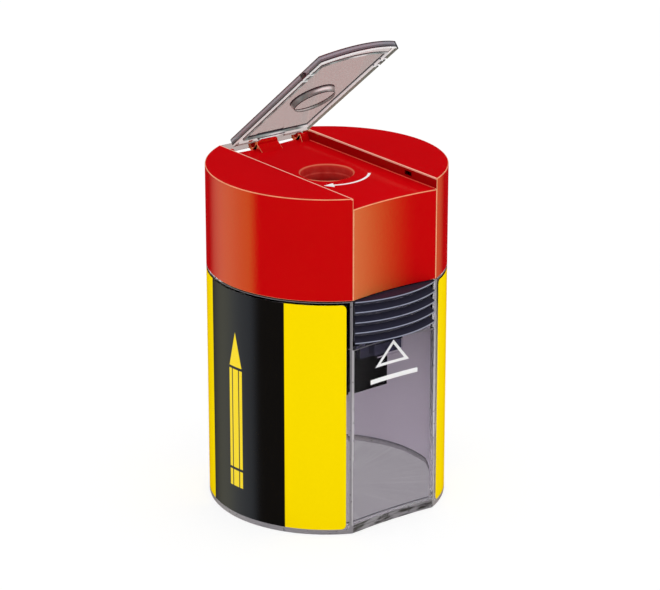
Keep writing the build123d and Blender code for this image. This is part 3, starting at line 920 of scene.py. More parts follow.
def plug_finish(colours, flap):
    """Sides of the clear plug and the recess, painted with reflected light and shade: grey in darker and lighter
    stretches, a painted highlight half way up in the plug's middle and along the recess's right, and painted dark
    lines at the plate and along the plug's end, by the height over that end."""
    finish = Finish("frosted_plug")
    x = finish.axes[0]
    height = shut_height(finish, CAP_TOP - flap.inset - flap.plate - flap.plug_length)
    long = flap.plug_length / MM
    stretch = finish.eased(finish.noise(grain=2.2, detail=1.0), 0.3, 0.7)
    # Painted highlight half way up in the plug's middle
    plug_highlight = finish.product(finish.line(height, long / 2, half=0.05, end=0.30),
                              finish.fading(finish.size(x), 0.6, 2.6))
    recess_right = finish.eased(x, flap.plug_base / MM + 0.5, (flap.half - flap.rim) / MM - 0.1)
    lines = finish.greatest(finish.fading(height, 0.08, 0.18), finish.eased(height, long - 0.40, long - 0.15))
    paint = finish.mottled(colours.plug_refraction, stretch, low=0.6, high=1.5)
    paint = finish.mix(finish.greatest(plug_highlight, recess_right), paint, colours.flap_rim_highlight)
    finish.fit({"Base Color": finish.mix(lines, paint, colours.flap_shade_line), "Transmission Weight": 0.2,
                "IOR": 1.06, "Roughness": 0.3})
    return finish.material


def bend_finish(colours, tub):
    """Round between the tub's floor and its wall: smoky clear plastic with painted shade that darkens up to the
    wall.
    """
    finish = Finish("deep_tub_bend")
    rise = finish.eased(finish.axes[2], tub.floor / MM, (tub.floor + tub.inner_round) / MM)
    finish.fit({"Base Color": finish.mix(rise, colours.tub_tint, colours.tub_bend_shade), "Roughness": 0.1,
                "Transmission Weight": 1.0, "IOR": 1.05})
    return finish.material


def rib_finish(colours, tab):
    """Blue-black plastic whose ridge crests carry a thin painted highlight line, by the height within a ridge
    and the distance from the drum's axis."""
    finish = Finish("rubbed_blue_black")
    outer, pitch = PAD_RADIUS / MM, tab.pitch / MM
    below_top = finish.less((TUB_TOP + tab.pitch - tab.crest / 2) / MM, finish.axes[2])
    in_ridge = finish.maths("MODULO", below_top, pitch)
    from_crest = finish.maths("MINIMUM", in_ridge, finish.less(pitch, in_ridge))
    # Painted highlight line along the crests, patchy
    patchy_highlight = finish.product(finish.eased(finish.from_axis, outer - 0.10, outer - 0.02),
                          finish.fading(from_crest, 0.05, 0.12),
                          finish.eased(finish.noise(grain=1.2, detail=4.0), 0.15, 0.5, 0.55, 1.0))
    paint = finish.mottled(colours.ribs, finish.noise(grain=2.0), low=0.85, high=1.15)
    finish.fit({"Base Color": finish.mix(patchy_highlight, paint, colours.rib_crest_highlight),
                "Roughness": finish.uneven(grain=0.4, low=0.34, high=0.44), "Specular IOR Level": 0.1})
    finish.bumps(finish.noise(grain=0.2, detail=1.0), depth=0.004)
    return finish.material


def dark_finish(colours):
    """Matte black plastic with a fine grain."""
    finish = Finish("matte_black")
    finish.fit({"Base Color": finish.mottled(colours.dark, finish.noise(grain=1.5), low=0.8, high=1.25),
                "Roughness": finish.uneven(grain=0.3, low=0.48, high=0.60), "Specular IOR Level": 0.06})
    finish.bumps(finish.noise(grain=0.2, detail=1.0), depth=0.006)
    return finish.material


def steel_finish(name, tone, stretch):
    """Steel with fine grinding marks along one direction."""
    finish = Finish(name)
    marks = finish.noise(grain=0.12, detail=5.0, stretch=stretch)
    finish.fit({"Base Color": finish.mottled(tone, marks, low=0.75, high=1.15), "Metallic": 1.0,
                "Roughness": finish.eased(marks, 0.2, 0.8, 0.22, 0.42)})
    finish.bumps(marks, depth=0.006)
    return finish.material


def ink_finish(colours):
    """White pad-printed ink, a little uneven."""
    finish = Finish("white_ink")
    cover = finish.eased(finish.noise(grain=0.3, detail=3.0), 0.2, 0.5)
    finish.fit({"Base Color": finish.mottled(colours.ink, cover, low=0.9, high=1.0), "Roughness": 0.45})
    return finish.material


def settle(piece, body, slot, *nodes):
    """Let a piece ride on a body and hide the nodes that it stands for; the material slot is not used."""
    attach(piece, body)
    if nodes:
        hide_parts(*nodes)


# Pieces


def tub_patches(tub, label):
    """Notched tub: outer wall with the labels' pockets, rim, inner wall with latch pockets, floor."""
    panel = TUB_TOP - tub.panel_drop
    latch, latch_low = tub.latch_half, panel - tub.latch_drop
    pocket = -side_share(-RADIUS * cos(label.start - tub.pocket_margin / RADIUS))
    pocket_low, pocket_top = LABEL_LOW - tub.pocket_margin, LABEL_TOP + tub.pocket_margin
    side_counts, notch_counts = [5, 65, 5], [9, 9, 9]
    wall_rows, bend_rows, rise_rows = 9, 4, 8
    spread = through([-1, -pocket, pocket, 1], side_counts)
    in_pocket = np.repeat([0, 1, 0], side_counts)
    across = np.unique(through([-NOTCH_HALF, -latch, latch, NOTCH_HALF], notch_counts))
    part = Stretches(len(spread), len(across))
    outer_z = [0, pocket_low, pocket_low, *np.linspace(tub.foot_band, panel, wall_rows),
               pocket_top, pocket_top, TUB_TOP]
    sunk = np.repeat([0, 1, 0], [2, len(outer_z) - 4, 2])
    bend = np.linspace(0, pi / 2, bend_rows)
    bend_z = tub.floor + tub.inner_round * (1 - np.cos(bend))
    inner_z = [*bend_z, *np.linspace(bend_z[-1], latch_low, rise_rows)[1:],
               latch_low + tub.latch_height, panel, pocket_top, TUB_TOP]
    inner_wall = np.full(len(inner_z), tub.wall)
    inner_wall[:bend_rows] += tub.inner_round * (1 - np.sin(bend))
    outer = np.stack([
        outline(z, RADIUS, panel_hollow(tub, z), spread, across, depth * in_pocket * tub.pocket_depth)
        for z, depth in zip(outer_z, sunk)])
    inner = np.stack([
        outline(z, RADIUS - wall, inner_hollow(wall, panel_hollow(tub, z)), spread, across)
        for z, wall in zip(inner_z, inner_wall)])
    outer_panel, inner_panel = outer_z.index(panel), inner_z.index(panel)
    inner_latch = inner_z.index(latch_low)
    outer_kept = np.ones((len(outer) - 1, outer.shape[1]), bool)
    outer_kept[outer_panel:, part.in_notch] = False
    inner_kept = np.ones((len(inner) - 1, inner.shape[1]), bool)
    inner_kept[inner_panel:, part.in_notch] = False
    middle = (inner[0, :, 0] + np.roll(inner[0, :, 0], -1)) / 2
    inner_kept[inner_latch, part.in_notch & (abs(middle) < latch)] = False
    patches = [(outer, True, outer_kept), (inner, True, inner_kept),
               (fan(outer[0]), True), (fan(inner[0]), True)]
    for stretch in (part.front, part.rear):
        patches.append((ruled(outer[outer_panel, stretch], inner[inner_panel, stretch]), False))
    for stretch in (part.right, part.left):
        patches.append((ruled(outer[-1, stretch], inner[-1, stretch]), False))
    for corner in part.corners:
        near, far = outer[[outer_panel, -2, -1], corner], inner[[inner_panel, -2, -1], corner]
        patches.append((ruled(near, far), False))
    latch_y = inner[inner_panel, part.front, 1].max() - tub.latch_depth
    inside = abs(inner[inner_latch, part.front, 0]) < latch + TINY
    low, high = inner[inner_latch, part.front][inside], inner[inner_latch + 1, part.front][inside]
    mouth = np.concatenate([low, high[::-1]])
    back = mouth * (1, 0, 1) + (0, latch_y, 0)
    recess = [(ruled(mouth, back), True), (ruled(back[:len(low)], back[len(low):][::-1]), False)]
    return patches + recess + moved(recess, half_turn)


def tub_edges(tub):
    """Which edges of the tub are rounded: full at the foot, less at the corners and least at the rims."""
    panel = TUB_TOP - tub.panel_drop
    foot_share, corner_share, rim_share = 1.0, 0.8, 0.3

    def share(x, y, z):
        rims = (abs(z - TUB_TOP) < TINY) | (abs(z - panel) < TINY)
        return np.maximum.reduce([foot_share * (z < TINY), corner_share * at_corner(x, y), rim_share * rims])

    return share


def share_out_tub(piece, tub, label):
    """Give the strips of the outer wall beside the notches' corners and along the foot the second finish, with its
    painted refraction shade, and the round between the floor and the wall inside the third, with its painted
    shade."""
    centre, normal = face_places(piece)
    outward = (centre[:, :2] * normal[:, :2]).sum(axis=1)
    x, z = abs(centre[:, 0]), centre[:, 2]
    beside = (outward > FACING * RADIUS) & (x < (NOTCH_HALF + RADIUS * sin(label.start)) / 2)
    band = np.where(x < NOTCH_HALF, tub.foot_band, LABEL_LOW)
    foot = (outward > 0) & (abs(normal[:, 2]) < ACROSS) & (z < band)
    bend = (normal[:, 2] > TINY) & (outward < 0) & (z < tub.floor + tub.inner_round)
    share_out(piece, (beside | foot) + 2 * bend)


def label_patches(label):
    """Film on the right side: (r cos t, r sin t, z) with rounded corners, r from its back to its face."""
    corner_steps, side_steps = 9, 97
    corner_turn = label.corner / RADIUS
    end = pi / 2 - label.start
    bend = corner_turn * np.linspace(0, 1, corner_steps)
    side = np.linspace(corner_turn - end, end - corner_turn, side_steps)[1:-1]
    borders = [pi / 2 - label.black_start, pi / 2 - label.black_end]
    turn = np.sort(np.concatenate([bend - end, side, end - bend, borders]))
    from_end = np.minimum((end - abs(turn)) * RADIUS, label.corner)
    cut = label.corner - np.sqrt(np.maximum(label.corner**2 - (label.corner - from_end) ** 2, 0))
    low, top = LABEL_LOW + cut, LABEL_TOP - cut
    back = RADIUS - label.thickness
    plan = round_plan(turn)
    return along(np.stack([at_height(back * plan, low), at_height(RADIUS * plan, low),
                           at_height(RADIUS * plan, top), at_height(back * plan, top)], axis=1))


def share_out_label(piece, label, turned):
    """Give the faces of the black stripe the second finish and those on the film's back the third."""
    centre = face_places(piece)[0] * (1 if turned else -1)
    round_drum = np.arctan2(centre[:, 0], centre[:, 1])
    black = (round_drum > label.black_start) & (round_drum < label.black_end)
    behind = np.hypot(centre[:, 0], centre[:, 1]) < RADIUS - 0.75 * label.thickness
    share_out(piece, np.where(behind, 2, black))


def cap_patches(cap, hollow):
    """Cap: notched wall, two wings with the channel between them, pencil hole, guide tube and inside."""
    floor = CAP_TOP - cap.channel_depth
    cavity = floor - cap.channel_floor
    slot_y = -cap.snap_y + np.array([-0.5, 0.5]) * cap.snap_length
    slot_z = floor + cap.snap_rise + np.array([0, cap.snap_height])
    heights = (floor, *slot_z, CAP_TOP)
    side_steps, notch_steps, lip_steps = 97, 33, 7
    spread = np.unique(np.append(np.linspace(-1, 1, side_steps), [side_share(y) for y in slot_y]))
    across = np.linspace(-NOTCH_HALF, NOTCH_HALF, notch_steps)
    part = Stretches(len(spread), len(across))
    low = outline(CAP_LOW, RADIUS, hollow, spread, across)
    brow = low * (1, 1, 0) + (0, 0, floor)
    patches = [(ruled(low, brow), True)]
    arc = low[part.right] * (1, 1, 0)
    line = arc * (0, 1, 0) + (NOTCH_HALF, 0, 0)
    wall = np.stack([line + (0, 0, z) for z in heights])
    wall_middle = (line[1:, 1] + line[:-1, 1]) / 2
    in_slot = (wall_middle > slot_y[0]) & (wall_middle < slot_y[1])
    wall_kept = np.ones((len(heights) - 1, len(line) - 1), bool)
    wall_kept[1, in_slot] = False
    edge = np.append(in_slot, False) | np.append(False, in_slot)
    mouth = np.concatenate([wall[1, edge], wall[2, edge][::-1]])
    back = mouth + (cap.snap_depth, 0, 0)
    half = edge.sum()
    wing = [
        (np.stack([arc + (0, 0, z) for z in heights]), False),
        (ruled(arc + (0, 0, CAP_TOP), line + (0, 0, CAP_TOP)), False),
        (wall, False, wall_kept),
        (ruled(mouth, back), True),
        (ruled(back[:half], back[half:][::-1]), False),
    ]
    patches += wing + moved(wing, mirrored)
    border = brow.copy()
    border[part.right] = line + (0, 0, floor)
    border[part.left] = (mirrored(line) + (0, 0, floor))[::-1]
    lip = [circle_through(border, HOLE_RADIUS + cap.lip * (1 - sin(turn)), floor - cap.lip * (1 - cos(turn)))
           for turn in np.linspace(0, pi / 2, lip_steps)]
    guide = HOLE_RADIUS + cap.guide_wall
    inside = [outline(z, RADIUS - cap.wall, inner_hollow(cap.wall, hollow), spread, across)
              for z in (cavity, CAP_LOW)]
    tube = [circle_through(border, radius, z)
            for radius, z in ((HOLE_RADIUS, GUIDE_LOW), (guide, GUIDE_LOW), (guide, cavity))]
    chain = [border, *lip, *tube, *inside, low]
    return patches + [(np.stack(chain), True)]


def share_out_cap(piece, cap):
    """Give the channel's floor the third finish."""
    centre, normal = face_places(piece)
    on_floor = (abs(centre[:, 2] - (CAP_TOP - cap.channel_depth)) < TINY) & (normal[:, 2] > FACING)
    share_out(piece, 2 * on_floor)


def cap_edges(cap):
    """Which edges of the cap are rounded: all outer ones, apart from those of the snap slots,
    and half as much at the outer foot."""
    floor = CAP_TOP - cap.channel_depth
    foot_share = 0.5

    def share(x, y, z):
        near_slot = abs(y + cap.snap_y) < cap.snap_length / 2 + TINY
        in_slot = near_slot & (z > floor + TINY) & (z < CAP_TOP - TINY)
        outer_foot = (z < CAP_LOW + TINY) & (np.hypot(x, y) > RADIUS - cap.wall / 2)
        above = (z > floor - TINY) & ~in_slot
        return np.maximum(1.0 * (at_corner(x, y) | above), foot_share * outer_foot)

    return share


def lug_patches(cap, x_low, x_high, reach, front_end, rear_end):
    """Hinge lug: a leg that leans back from the channel's floor, and a clip round the hinge's axis, open
    above, whose two ends lie at the given heights over the axis."""
    floor = CAP_TOP - cap.channel_depth
    outer = cap.lug_bore + cap.lug_wall
    clip_steps = 41

    def arc(radius):
        first, last = pi - asin(front_end / radius), 2 * pi + asin(rear_end / radius)
        return radius * round_plan(np.linspace(first, last, clip_steps)) + (HINGE_Y, HINGE_Z)

    def across(yz):
        return [np.insert(yz, 0, x, axis=-1) for x in (x_low, x_high)]

    inner_low, inner_high = across(arc(cap.lug_bore))
    outer_low, outer_high = across(arc(outer))
    clip = along(np.stack([inner_low, inner_high, outer_high, outer_low], axis=1))
    middle = (outer + cap.lug_bore) / 2
    foot_y = HINGE_Y - reach
    leg = np.array([(foot_y, floor - cap.lug_wall / 2), (foot_y, floor), (HINGE_Y - outer, HINGE_Z),
                    (HINGE_Y - middle, HINGE_Z), (HINGE_Y, HINGE_Z - middle),
                    (foot_y + 2 * cap.lug_wall, floor - cap.lug_wall / 2)])
    return clip + along(np.stack(across(leg)))


def lug_edges(cap):
    """Which edges of the lugs are rounded: those of their upright sides."""
    sides = cap.lug_half, NOTCH_HALF - cap.side_lug

    def share(x, y, z):
        return np.maximum.reduce([1.0 * (abs(abs(x) - side) < TINY) for side in sides])

    return share


def flap_outlines(flap, cap):
    """Outlines of the shut flap, point for point: the outer edge drawn in by an inset, the recess, and the
    slits. An outline has a front (x, -sqrt(r r - x x)), straight sides and a back."""
    back = HINGE_Y - flap.back_gap
    inner_half, inner_end = flap.half - flap.rim, back - flap.back_rim
    first, last = -cap.snap_y - cap.snap_length / 2, -cap.snap_y + cap.snap_length / 2
    stops = [-sqrt(flap.front**2 - flap.half**2), first - flap.slit, first, last, last + flap.slit, back]
    front_steps, side_counts, back_counts = 41, [4, 2, 4, 2, 16], [6, 6, 6]
    front_x = np.linspace(-1, 1, front_steps)
    side_y = through(stops, side_counts)
    back_x = through([flap.half, flap.lug_room, -flap.lug_room, -flap.half], back_counts)
    back_y = np.repeat([back, back - flap.lug_cut, back], back_counts)
    in_slit = np.repeat([0, 1, 0, 1, 0], side_counts)
    slits = np.concatenate([np.zeros(front_steps), in_slit, np.zeros(len(back_x)), in_slit[::-1]])

    def loop(half, radius, end, rear_x, rear_y):
        x = half * front_x
        front = np.stack([x, -np.sqrt(radius**2 - x**2)], axis=-1)
        y = np.clip(side_y, -sqrt(radius**2 - half**2), end)
        side = np.stack([np.full(len(y), half), y], axis=-1)
        return np.concatenate([front, side, np.stack([rear_x, rear_y], axis=-1), side[::-1] * (-1, 1)])

    def outer(inset):
        half = flap.half - inset
        return loop(half, flap.front - inset, back - inset, np.clip(back_x, -half, half), back_y - inset)

    recess = loop(inner_half, flap.front - flap.front_lip, inner_end,
                  back_x * inner_half / flap.half, np.full(len(back_x), inner_end))
    return outer, recess, slits


def flap_patches(flap, cap):
    """Flap plate, shut: rounded upper edge, rim cut by the slits, recess and plug, as a chain of outlines."""
    edge_rows = 5
    top = CAP_TOP - flap.inset
    outer, recess, slits = flap_outlines(flap, cap)
    upper = [at_height(outer(flap.edge * (1 - sin(turn))), top - flap.edge * (1 - cos(turn)))
             for turn in np.linspace(0, pi / 2, edge_rows)]
    rim_foot = top - flap.height + slits * (flap.height - flap.plate)
    face = at_height(recess, top)
    ceiling = at_height(recess, top - flap.plate)
    plug_base = circle_through(ceiling, flap.plug_base, top - flap.plate)
    plug_end = circle_through(ceiling, flap.plug_end, top - flap.plate - flap.plug_length)
    chain = [face, at_height(outer(FACE_SHARE * flap.edge), top), *upper, at_height(outer(0), rim_foot),
             at_height(recess, rim_foot), ceiling, plug_base, plug_end]
    return [(np.stack(chain), True), (fan(face), True), (fan(plug_end), True)]


def flap_fittings(flap, cap):
    """Patches of the flap's arms, hinge bar and snap nubs, each a closed shell, shut."""
    top = CAP_TOP - flap.inset
    back = HINGE_Y - flap.back_gap
    floor = CAP_TOP - cap.channel_depth
    arm = slab((flap.lug_room + flap.edge, back - flap.rim, HINGE_Z - flap.bar / 2),
               (flap.arm_end, HINGE_Y, top - flap.edge))
    nub_half = cap.snap_length / 2 - flap.slit
    nub = slab((flap.half - flap.rim / 2, -cap.snap_y - nub_half, floor + cap.snap_rise + flap.slit / 2),
               (flap.half + flap.nub, -cap.snap_y + nub_half, floor + cap.snap_rise + cap.snap_height))
    bar = rod(flap.bar, flap.bar_half, HINGE_Y, HINGE_Z)
    return [arm, moved(arm, mirrored), nub, moved(nub, mirrored), bar]


def share_out_flap(piece, flap):
    """Give the open flap's outer walls and nubs the second finish and the sides of its plug and its recess the
    fourth, both painted with light and shade, and its rim's foot the third, a paler tint as a painted highlight.
    Places are counted as in the shut flap: the distance before the hinge and the height above it."""
    centre, normal = face_places(piece)
    centre = centre - (0, HINGE_Y, HINGE_Z)
    (before, height), (forward, upward) = (
        (part[:, 2] * sin(OPEN_ANGLE) - part[:, 1] * cos(OPEN_ANGLE),
         part[:, 2] * cos(OPEN_ANGLE) + part[:, 1] * sin(OPEN_ANGLE)) for part in (centre, normal))
    from_plug = before - HINGE_Y
    outward = centre[:, 0] * normal[:, 0] + from_plug * forward > 0
    on_plate = before > flap.back_gap + flap.edge
    in_plug = np.hypot(centre[:, 0], from_plug) < flap.plug_base
    nub = on_plate & (abs(centre[:, 0]) > flap.half + TINY)
    upright = on_plate & (abs(upward) < UPRIGHT)
    outer = (upright & outward & ~in_plug) | nub
    foot = CAP_TOP - flap.inset - (flap.plate + flap.height) / 2 - HINGE_Z
    rim = on_plate & ~in_plug & ~nub & (upward < -UPRIGHT) & (height < foot)
    share_out(piece, outer + 2 * rim + 3 * (upright & ~outer))


def tab_patches(tab):
    """Front press tab: a ridged section carried round the drum's axis, with its leaf, pin and latch nose.
    The section goes down each ridge by its crest's two edges and the valley below it."""
    pad_steps = 49
    crest_z = TUB_TOP - tab.crest / 2 - np.arange(tab.ridges) * tab.pitch
    steps_down = np.array([tab.crest / 2, -tab.crest / 2, -tab.pitch / 2])
    height = (crest_z[:, None] + steps_down).ravel()[:-1]
    reach = np.tile([PAD_RADIUS, PAD_RADIUS, PAD_RADIUS - tab.depth], tab.ridges)[:-1]
    count = len(height)
    back = -PIVOT_Y + tab.leaf / 2
    end = asin(tab.half_width / PAD_RADIUS)
    turn = np.linspace(-end, end, pad_steps)[:, None]
    face = np.broadcast_to(reach, (pad_steps, count))
    radius = np.concatenate([face, np.repeat(back / np.cos(turn), count, axis=1)], axis=1)
    z = np.concatenate([height, height[::-1]])
    pad = np.stack([radius * np.sin(turn), -radius * np.cos(turn), np.broadcast_to(z, radius.shape)], axis=-1)
    ends = [(ruled(section[:count], section[count:][::-1]), False) for section in (pad[0], pad[-1])]
    leaf = slab((-tab.leaf_half, -back, TAB_LOW), (tab.leaf_half, tab.leaf - back, PIVOT_Z))
    nose_low = TAB_LOW + tab.nose_rise
    nose = slab((-tab.nose_half, -back - tab.nose_reach, nose_low),
                (tab.nose_half, tab.leaf / 2 - back, nose_low + tab.nose_height))
    return [(pad, True), *ends] + leaf + nose + rod(tab.pin, tab.pin_half, PIVOT_Y, PIVOT_Z)


def on_panel(x, z, rise, tub):
    """Points over the front panel, raised from its face."""
    return np.stack([x, notch_y(x, CORNER_Y, panel_hollow(tub, z)) - rise, z], axis=-1)


def drawn_out(corners, step):
    """Polygon whose sides lie a step further out: each corner moves by step (a + b) / (1 + a.b)."""
    side = np.roll(corners, -1, axis=0) - corners
    side /= np.linalg.norm(side, axis=1, keepdims=True)
    out = np.stack([side[:, 1], -side[:, 0]], axis=-1)
    before = np.roll(out, 1, axis=0)
    return corners + step * (out + before) / (1 + (out * before).sum(axis=1, keepdims=True))


def press_mark_patches(marks, tub):
    """Printed triangle outline and a bar below it, laid on the front panel."""
    line_steps, bar_steps = 16, 33
    corners = np.array([(marks.apex_x, marks.apex_z), (-marks.base_half, marks.base_z),
                        (marks.base_half, marks.base_z)])
    share = np.linspace(0, 1, line_steps, endpoint=False)[None, :, None]
    bar_x = np.linspace(-marks.bar_half, marks.bar_half, bar_steps) + marks.apex_x

    def loop(step):
        points = drawn_out(corners, step)
        return (points[:, None] + share * (np.roll(points, -1, axis=0) - points)[:, None]).reshape(-1, 2)

    def bar_side(step):
        return np.stack([bar_x, np.full(bar_steps, marks.bar_z + step)], axis=-1)

    def printed(first, second):
        sides = (first, marks.ink), (second, marks.ink), (second, -marks.ink), (first, -marks.ink)
        return np.stack([on_panel(*line.T, rise, tub) for line, rise in sides], axis=1)

    triangle = printed(loop(marks.stroke / 2), loop(-marks.stroke / 2))
    bar = printed(bar_side(-marks.bar_width / 2), bar_side(marks.bar_width / 2))
    return along(triangle, closed_path=True) + along(bar)


def turn_mark_patches(marks, cap):
    """Printed arrow round the pencil hole: an arc and a pointed head, on the channel's floor."""
    arc_steps = 33
    floor = CAP_TOP - cap.channel_depth
    plan = round_plan(np.linspace(marks.turn_start, marks.turn_end, arc_steps))
    half, ink = marks.stroke / 2, marks.ink
    arc = np.stack([at_height((marks.turn_radius + out) * plan, floor + rise) for out, rise in
                    ((-half, ink), (half, ink), (half, -ink), (-half, -ink))], axis=1)
    outward = np.array([cos(marks.turn_end), sin(marks.turn_end)])
    onward = np.array([outward[1], -outward[0]])
    root = marks.turn_radius * outward
    barb = marks.head * HEAD_SHARE * outward
    head = np.array([root + barb, root + marks.head * onward, root - barb])
    return along(arc) + along(np.stack([at_height(head, floor - ink), at_height(head, floor + ink)]))


# Operators


class SHARPENER_OT_tub(Operator):
    """Build the clear shavings tub"""
    bl_idname = "sharpener.tub"
    bl_label = "Tub"

    def execute(self, context):
        settings = context.scene.sharpener
        colours = settings.colours
        clear = clear_finish("smoky_tub", colours.tub_tint, index=1.10, gloss=0.15)
        # Painted refraction shade on the tub's edges
        painted_refraction = tub_edge_refraction_finish(colours, settings.tub)
        # Painted shade in the round between floor and wall
        deep = bend_finish(colours, settings.tub)
        piece = make_piece("tub_shell", tub_patches(settings.tub, settings.label), clear, painted_refraction, deep)
        share_out_tub(piece, settings.tub, settings.label)
        soften(piece, settings.tub.edge, tub_edges(settings.tub), edge_finish=1)
        settle(piece, "tub", "smoky_clear", "tub")
        return {"FINISHED"}


class SHARPENER_OT_labels(Operator):
    """Build the two printed labels"""
    bl_idname = "sharpener.labels"
    bl_label = "Labels"

    def execute(self, context):
        settings = context.scene.sharpener
        label, colours = settings.label, settings.colours
        backing = backing_finish(colours)
        patches = label_patches(label)
        for side, turned in (("right", True), ("left", False)):
            yellow = label_finish(f"yellow_film_{side}", colours, label, turned, specular=0.006)
            black = label_finish(f"black_film_{side}", colours, label, turned, specular=0.18)
            shape = patches if turned else moved(patches, half_turn)
            piece = make_piece(f"label_film_{side}", shape, yellow, black, backing)
            share_out_label(piece, label, turned)
            settle(piece, "tub", "label_film", f"label_{side}")
        return {"FINISHED"}


class SHARPENER_OT_cap(Operator):
    """Build the cap and its hinge lugs"""
    bl_idname = "sharpener.cap"
    bl_label = "Cap"

    def execute(self, context):
        settings = context.scene.sharpener
        cap, colours = settings.cap, settings.colours
        red = red_finish("satin_red", colours, cap, specular=0.42, smooth=0.06, rough=0.10)
        dull = red_finish("dull_red_channel", colours, cap, specular=0.10, smooth=0.12, rough=0.14)
        # Painted highlight on the cap's rounded edges
        edge_highlight = red_edge_highlight_finish(colours, cap)
        shell = make_piece("cap_shell", cap_patches(cap, settings.tub.hollow_top), red, edge_highlight, dull)
        share_out_cap(shell, cap)
        soften(shell, cap.edge, cap_edges(cap), edge_finish=1)
        settle(shell, "lid", "red_plastic", "cap")
        side = lug_patches(cap, NOTCH_HALF - cap.side_lug, NOTCH_HALF + cap.lug_edge, cap.side_lug_reach,
                           cap.side_lug_front, cap.side_lug_rear)
        middle = lug_patches(cap, -cap.lug_half, cap.lug_half, cap.lug_reach, cap.lug_mouth, cap.lug_mouth)
        lugs = make_piece("hinge_lugs", middle + side + moved(side, mirrored), red, edge_highlight)
        soften(lugs, cap.lug_edge, lug_edges(cap), edge_finish=1)
        settle(lugs, "lid", "red_plastic", "cap")
        return {"FINISHED"}


class SHARPENER_OT_flap(Operator):
    """Build the clear dust flap"""
    bl_idname = "sharpener.flap"
    bl_label = "Flap"

    def execute(self, context):
        settings = context.scene.sharpener
        colours = settings.colours
        clear = clear_finish("smoky_flap", colours.flap_tint, index=1.06, gloss=0.5)
        # Painted light and shade of refraction on the flap's walls
        flap_wall_light = flap_wall_light_finish(colours, settings.flap)
        # Paler tint as a painted highlight on the rim's foot
        pale = clear_finish("pale_flap_rim", colours.flap_rim_highlight, index=1.06, gloss=0.5)
        # Painted light and shade on the sides of the plug and the recess
        plug = plug_finish(colours, settings.flap)
        shells = [flap_patches(settings.flap, settings.cap), *flap_fittings(settings.flap, settings.cap)]
        pieces = [make_piece("flap_part", moved(patches, swung_open)) for patches in shells]
        flap = fuse("flap_plate", pieces, clear, flap_wall_light, pale, plug)
        share_out_flap(flap, settings.flap)
        flap.visible_glossy = False
        flap.visible_diffuse = False
        settle(flap, "flap", "smoky_clear", "flap")
        return {"FINISHED"}


class SHARPENER_OT_press_tabs(Operator):
    """Build the front and rear press tabs"""
    bl_idname = "sharpener.press_tabs"
    bl_label = "Press tabs"

    def execute(self, context):
        settings = context.scene.sharpener
        finish = rib_finish(settings.colours, settings.tab)
        patches = tab_patches(settings.tab)
        for side, shape in (("front", patches), ("rear", moved(patches, half_turn))):
            piece = make_piece(f"ribbed_tab_{side}", shape, finish)
            piece.visible_glossy = False
            settle(piece, f"press_tab_{side}", "ribbed_plastic", f"press_tab_{side}")
        return {"FINISHED"}


class SHARPENER_OT_works(Operator):
    """Finish the carrier, the sharpener block, the blade and its screw"""
    bl_idname = "sharpener.works"
    bl_label = "Works"

    def execute(self, context):
        colours = context.scene.sharpener.colours
        dark = dark_finish(colours)
        finishes = {
            "carrier": dark,
            "sharpener_block": dark,
            "blade": steel_finish("ground_steel", colours.steel, stretch=(1, 1, 30)),
            "blade_screw": steel_finish("plated_steel", colours.plated, stretch=(6, 6, 1)),
        }
        for name, finish in finishes.items():
            frame["nodes"][name].data.materials.clear()
            frame["nodes"][name].data.materials.append(finish)
        return {"FINISHED"}


class SHARPENER_OT_marks(Operator):
    """Print the white marks on the panel and by the pencil hole"""
    bl_idname = "sharpener.marks"
    bl_label = "Printed marks"

    def execute(self, context):
        settings = context.scene.sharpener
        ink = ink_finish(settings.colours)
        press = make_piece("press_mark", press_mark_patches(settings.marks, settings.tub), ink)
        settle(press, "tub", "label_film")
        turn = make_piece("turn_mark", turn_mark_patches(settings.marks, settings.cap), ink)
        settle(turn, "lid", "label_film")
        return {"FINISHED"}


class SHARPENER_OT_stage(Operator):
    """Set up the floor, the light and the camera"""
    bl_idname = "sharpener.stage"
    bl_label = "Stage"

    def execute(self, context):
        scene, stage = context.scene, context.scene.sharpener.stage
        scene.view_settings.view_transform = "Standard"
        scene.cycles.max_bounces = 24
        scene.cycles.glossy_bounces = 12
        scene.cycles.transmission_bounces = 20
        add_floor(stage)
        add_room(scene, stage)
        add_key(stage)
        add_camera(scene, stage)
        return {"FINISHED"}


# Stage


def view_direction(stage, turn=0.0, elevation=0.0):
    """Unit vector from the object towards an angle to the right of the camera's own, at an elevation."""
    azimuth = stage.azimuth + turn
    return Vector((sin(azimuth) * cos(elevation), -cos(azimuth) * cos(elevation), sin(elevation)))


